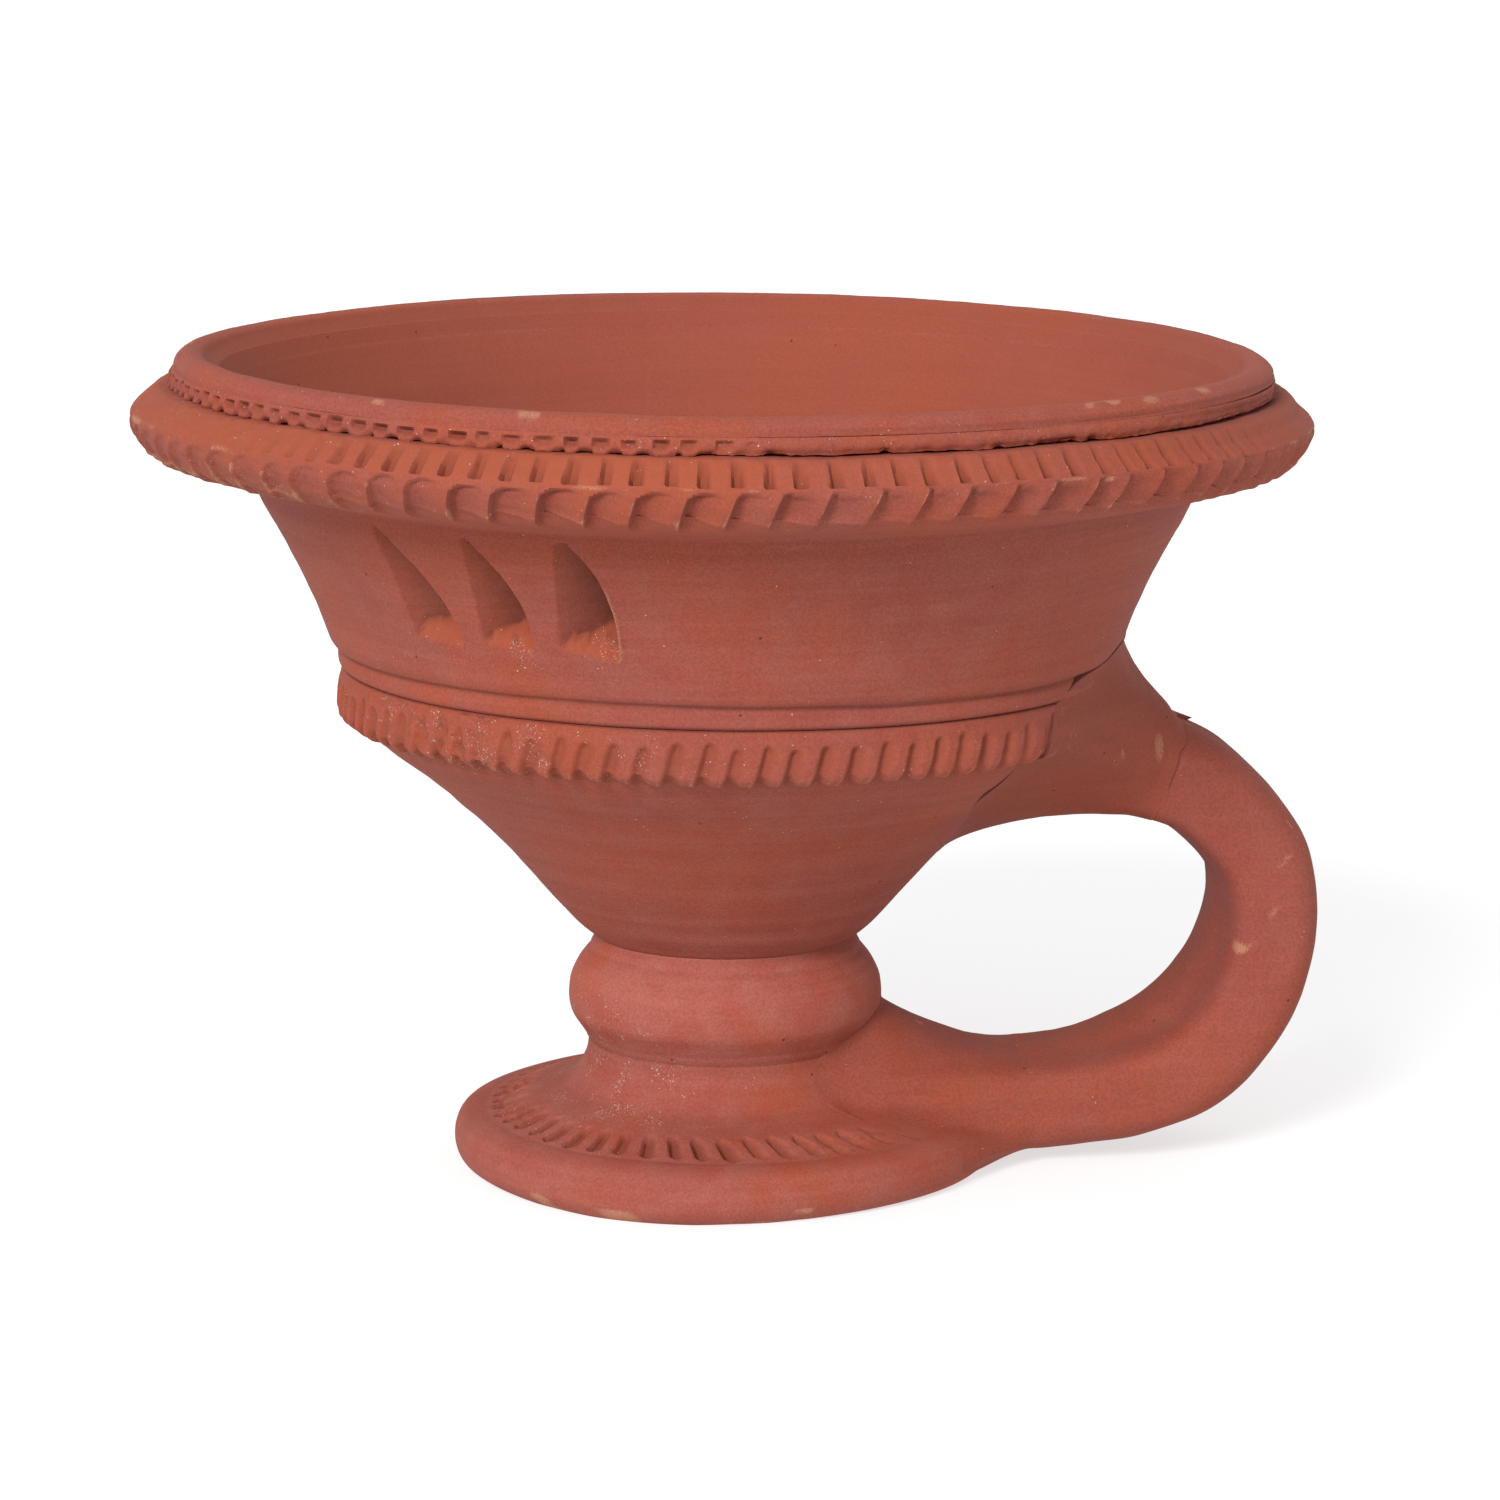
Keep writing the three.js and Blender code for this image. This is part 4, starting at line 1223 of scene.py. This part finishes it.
def keep_clear(points, lift):
    """Pushes points that lie inside the pot, or closer than `lift`, out to that distance."""
    line, out, _ = pot_line()
    flat = points.reshape(-1, 3)
    wanted = np.broadcast_to(lift, points.shape[:-1]).ravel()
    leaning = flat[:, 2] + LEAN * flat[:, 0] * step(flat[:, 2], 30, 78)
    radius = np.hypot(flat[:, 0], flat[:, 1])
    result = flat.copy()
    for start in range(0, len(flat), 4000):
        part = slice(start, start + 4000)
        away = (radius[part, None] - line[None, :, 0]) ** 2 + (leaning[part, None] - line[None, :, 1]) ** 2
        near = away.argmin(1)
        gap = (radius[part] - line[near, 0]) * out[near, 0] + (leaning[part] - line[near, 1]) * out[near, 1]
        push = np.maximum(0, wanted[part] - gap)
        c, s = flat[part, 0] / radius[part], flat[part, 1] / radius[part]
        result[part, 0] += push * out[near, 0] * c
        result[part, 1] += push * out[near, 0] * s
        result[part, 2] += push * out[near, 1]
    return result.reshape(points.shape)


def smooth_round(turns, table):
    """Values of a table of (turn, ...) rows over half a ring, mirrored to the other half."""
    table = np.array(table, float)
    half = np.abs(bearing(turns))
    line = smooth_line(table, 0.5)
    order = np.argsort(line[:, 0])
    return [np.interp(half, line[order, 0], line[order, k]) for k in range(1, table.shape[1])]


def make_wad(name, material, station, strap_direction, towards_pot, contact, leave, arrive, merge, seam):
    """A lump of clay drawn from the strap's end and spread on to the pot.

    station: the place in the strap's line where the wad starts.
    contact: (turn, degrees round the pot, length up its line) of the wad's edge on the pot.
    leave: (turn, pull, upward share) from the strap. arrive: (turn, pull) along the pot.
    merge: (turn, how far the wad's edge stands above the pot).
    seam: how proud, ragged, torn up and cracked the seam round the strap is, and how much painted shade,
    darker and redder, covers the wad.
    """
    turn = full_turn(AROUND)
    side = np.where(turn > math.pi, -1.0, 1.0)
    degrees, length = smooth_round(turn, contact)
    wiggle = lumps(np.cos(turn) * 9, np.sin(turn) * 9, 0, 2.2, 0.3)
    target, out = on_pot(np.radians(degrees) * side, length + 0.6 * wiggle)
    target[:, 2] -= LEAN * target[:, 0] * step(target[:, 2], 30, 78)
    pulls, share = smooth_round(turn, leave)
    (arriving,) = smooth_round(turn, arrive)
    (lifted,) = smooth_round(turn, merge)
    heading = np.array([towards_pot[0], 0, towards_pot[1]], float)
    heading /= np.linalg.norm(heading)
    upright = np.array([-heading[2], 0, heading[0]]) * np.sign(heading[0])
    ragged = seam["ragged"] * lumps(np.cos(turn) * 7, np.sin(turn) * 7, 0, 1.9, 0.6)
    back = heading * ragged[:, None]
    plain = strap_section(station, strap_direction)
    ahead = plain + [strap_direction[0], 0, strap_direction[1]]
    swollen = ring_normals(np.stack([plain, ahead]))[0]
    proud = seam["proud"] * (0.25 + 0.75 * bump_at(bearing(turn), 0, 60))
    start = plain + swollen * (proud + strap_unevenness(*plain.T))[:, None] - back
    under = strap_section(station, strap_direction, -1.2) - back + 0.5 * heading

    edge = np.roll(target, -1, 0) - np.roll(target, 1, 0)
    outward = np.cross(edge, out)
    outward /= np.linalg.norm(outward, axis=1)[:, None]
    outward *= np.sign(((target - target.mean(0)) * outward).sum(1))[:, None]
    begin = pulls[:, None] * (heading + share[:, None] * upright)
    finish = arriving[:, None] * outward
    t = np.linspace(0, 1, WAD_STEPS)[:, None, None]
    skin = hermite(t, start, begin, target, finish)
    part = t[..., 0]
    for _ in range(4):
        skin = keep_clear(skin, lifted[None, :] + 0.3 * step(1 - part, 0.05, 0.5))
        for _ in range(10):
            middle = (skin[:-2] + skin[2:]) / 2
            beside = (np.roll(skin, 1, 1) + np.roll(skin, -1, 1)) / 2
            skin[1:-1] += 0.5 * ((middle + beside[1:-1]) / 2 - skin[1:-1])
    skin = keep_clear(skin, np.minimum(lifted[None, :], 0.1) + 0 * part)
    # A thin flake of clay, torn up at the top of the seam.
    torn = seam["flake"] * bump_at(np.degrees(turn), 17, 5.0)[None, :]
    torn = torn * np.clip(1 - np.arange(WAD_STEPS) / 3, 0, 1)[:, None]
    skin = skin - torn[..., None] * heading + torn[..., None] * 0.04 * upright
    under = under - 0.7 * torn[0][:, None] * heading + 0.12 * torn[0][:, None] * upright
    x, y, z = skin[..., 0], skin[..., 1], skin[..., 2]
    middle = between(part, 0.02, 0.16, 0.82, 0.99)
    hand = 0.34 * lumps(x, y, z, 15, 0.2) + 0.16 * lumps(x, y, z, 5.5, 0.7)
    skin = skin + ring_normals(skin) * (hand * middle + 0.03 * lumps(x, y, z, 1.5))[..., None]
    dive = skin[-1] - out * (0.9 + lifted[:, None]) + 0.3 * outward
    deep = skin[-1] - out * 3.0 - 1.5 * outward
    rings = np.concatenate([(under + heading * 4)[None], under[None], skin, dive[None], deep[None]])

    # Painted shade: over the whole wad, as a shadow line along its edge where it stands off the pot, and in
    # the crack at the seam.
    dark = np.full(rings.shape[:2], seam["shade"])
    edge_dark = step(lifted, 0.1, 0.35)
    dark[-2:] = edge_dark
    dark[-3] = 0.85 * edge_dark
    dark[-4] += 0.3 * edge_dark
    cracked = seam["crack"] * between(np.degrees(turn), 250, 268, 300, 322)
    dark[1] = cracked
    dark[2] = 0.8 * cracked
    dark[3] = 0.2 * cracked
    if ((rings - rings.mean(1, keepdims=True)) * ring_normals(rings))[2:40].sum() < 0:
        rings = rings[:, ::-1]
        dark = dark[:, ::-1]
    x, y, z = rings[..., 0], rings[..., 1], rings[..., 2]
    worn = step(lumps(x, y, z * 0.5, 3.2, 0.7), 0.6, 0.85) * step(lumps(x, y, z, 14, 0.1), 0.1, 0.5)
    points, quads, triangles = ring_skin(rings)
    points[:, 2] = np.maximum(points[:, 2], 0.6)
    paint = {
        "dark": padded_paint(dark),
        "worn": padded_paint(0.7 * worn),
        "salt": 0.015,
        # The painted shade also makes the wad redder.
        "fresh": 2 * seam["shade"],
    }
    add_piece(name, points, quads, triangles, paint, material)


def height_to_length(table):
    """A contact table with heights above the knop turned into lengths up the pot's line."""
    line, _, lengths = pot_line()
    upper = line[:, 1] > 35
    return [(turn, degrees, np.interp(z, line[upper, 1], lengths[upper])) for turn, degrees, z in table]


def make_upper_wad(material):
    contact = [(0, 0, 84.0), (40, 22, 82.0), (70, 36, 78.6), (85, 40, 75.0), (100, 42, 69.5)]
    contact += [(115, 42, 64.0), (135, 33, 56.5), (160, 16, 49.2), (180, 0, 47.0)]
    merge = [(0, 0.3), (60, 0.3), (88, 0.3), (93, 0.3), (97, 0.5), (102, 0.02)]
    merge += [(112, 0.3), (119, 0.3), (126, 0.02), (180, 0)]
    make_wad(
        "handle_upper_wad",
        material,
        STRAP_LINE[1],
        (0.94, -0.34),
        (-0.94, 0.34),
        height_to_length(contact),
        leave=[(0, 13, 0.45), (60, 15, 0.3), (110, 20, 0.0), (140, 26, -0.1), (180, 28, -0.12)],
        arrive=[(0, 13), (90, 14), (140, 16), (180, 16)],
        merge=merge,
        seam={"proud": 0.4, "ragged": 1.1, "flake": 3.4, "shade": 0.18, "crack": 1.0},
    )


def make_lower_wad(material):
    contact = [(0, 0, 2.4), (35, 30, 2.4), (60, 40, 5.6), (75, 44.5, 12.3), (90, 48, 18.5)]
    contact += [(105, 53, 24.0), (120, 57, 28.5), (135, 56, 32.0), (150, 42, 36.0)]
    contact += [(165, 21, 39.2), (180, 0, 40.5)]
    make_wad(
        "handle_lower_wad",
        material,
        STRAP_LINE[-2],
        (-1.0, -0.03),
        (-1.0, -0.03),
        contact,
        leave=[(0, 7, -0.1), (90, 12, 0.0), (150, 17, -0.03), (180, 18, -0.03)],
        arrive=[(0, 4), (35, 9), (60, 11), (120, 9), (150, 6), (180, 6)],
        merge=[(0, 0.02), (90, 0.0), (120, 0.0), (150, 0.05), (180, 0.1)],
        seam={"proud": 0.0, "ragged": 0.8, "flake": 0.0, "shade": 0.0, "crack": 0.0},
    )


# ---------------------------------------------------------------- make everything


make_camera()
make_lights()
make_floor()

clay_plain = clay_material("clay_plain", 0.55, 1.0)
clay_knop = clay_material("clay_knop", 0.85, 1.0, 1.16)
clay_foot = clay_material("clay_foot", 0.75, 1.0, 1.07)
clay_tooled = clay_material("clay_tooled", 0.5, 0.3)
clay_hand = clay_material("clay_hand", 0.45, 0.15, 0.95)

make_foot(clay_foot)
make_knop(clay_knop)
make_lower_bowl(clay_plain)
make_waist_band(clay_tooled)
make_bowl_wall(clay_plain)
make_collar(clay_tooled)
make_rim_rope(clay_tooled)
make_rim_lip(clay_tooled)
make_handle_arch(clay_hand)
make_upper_wad(clay_hand)
make_lower_wad(clay_hand)
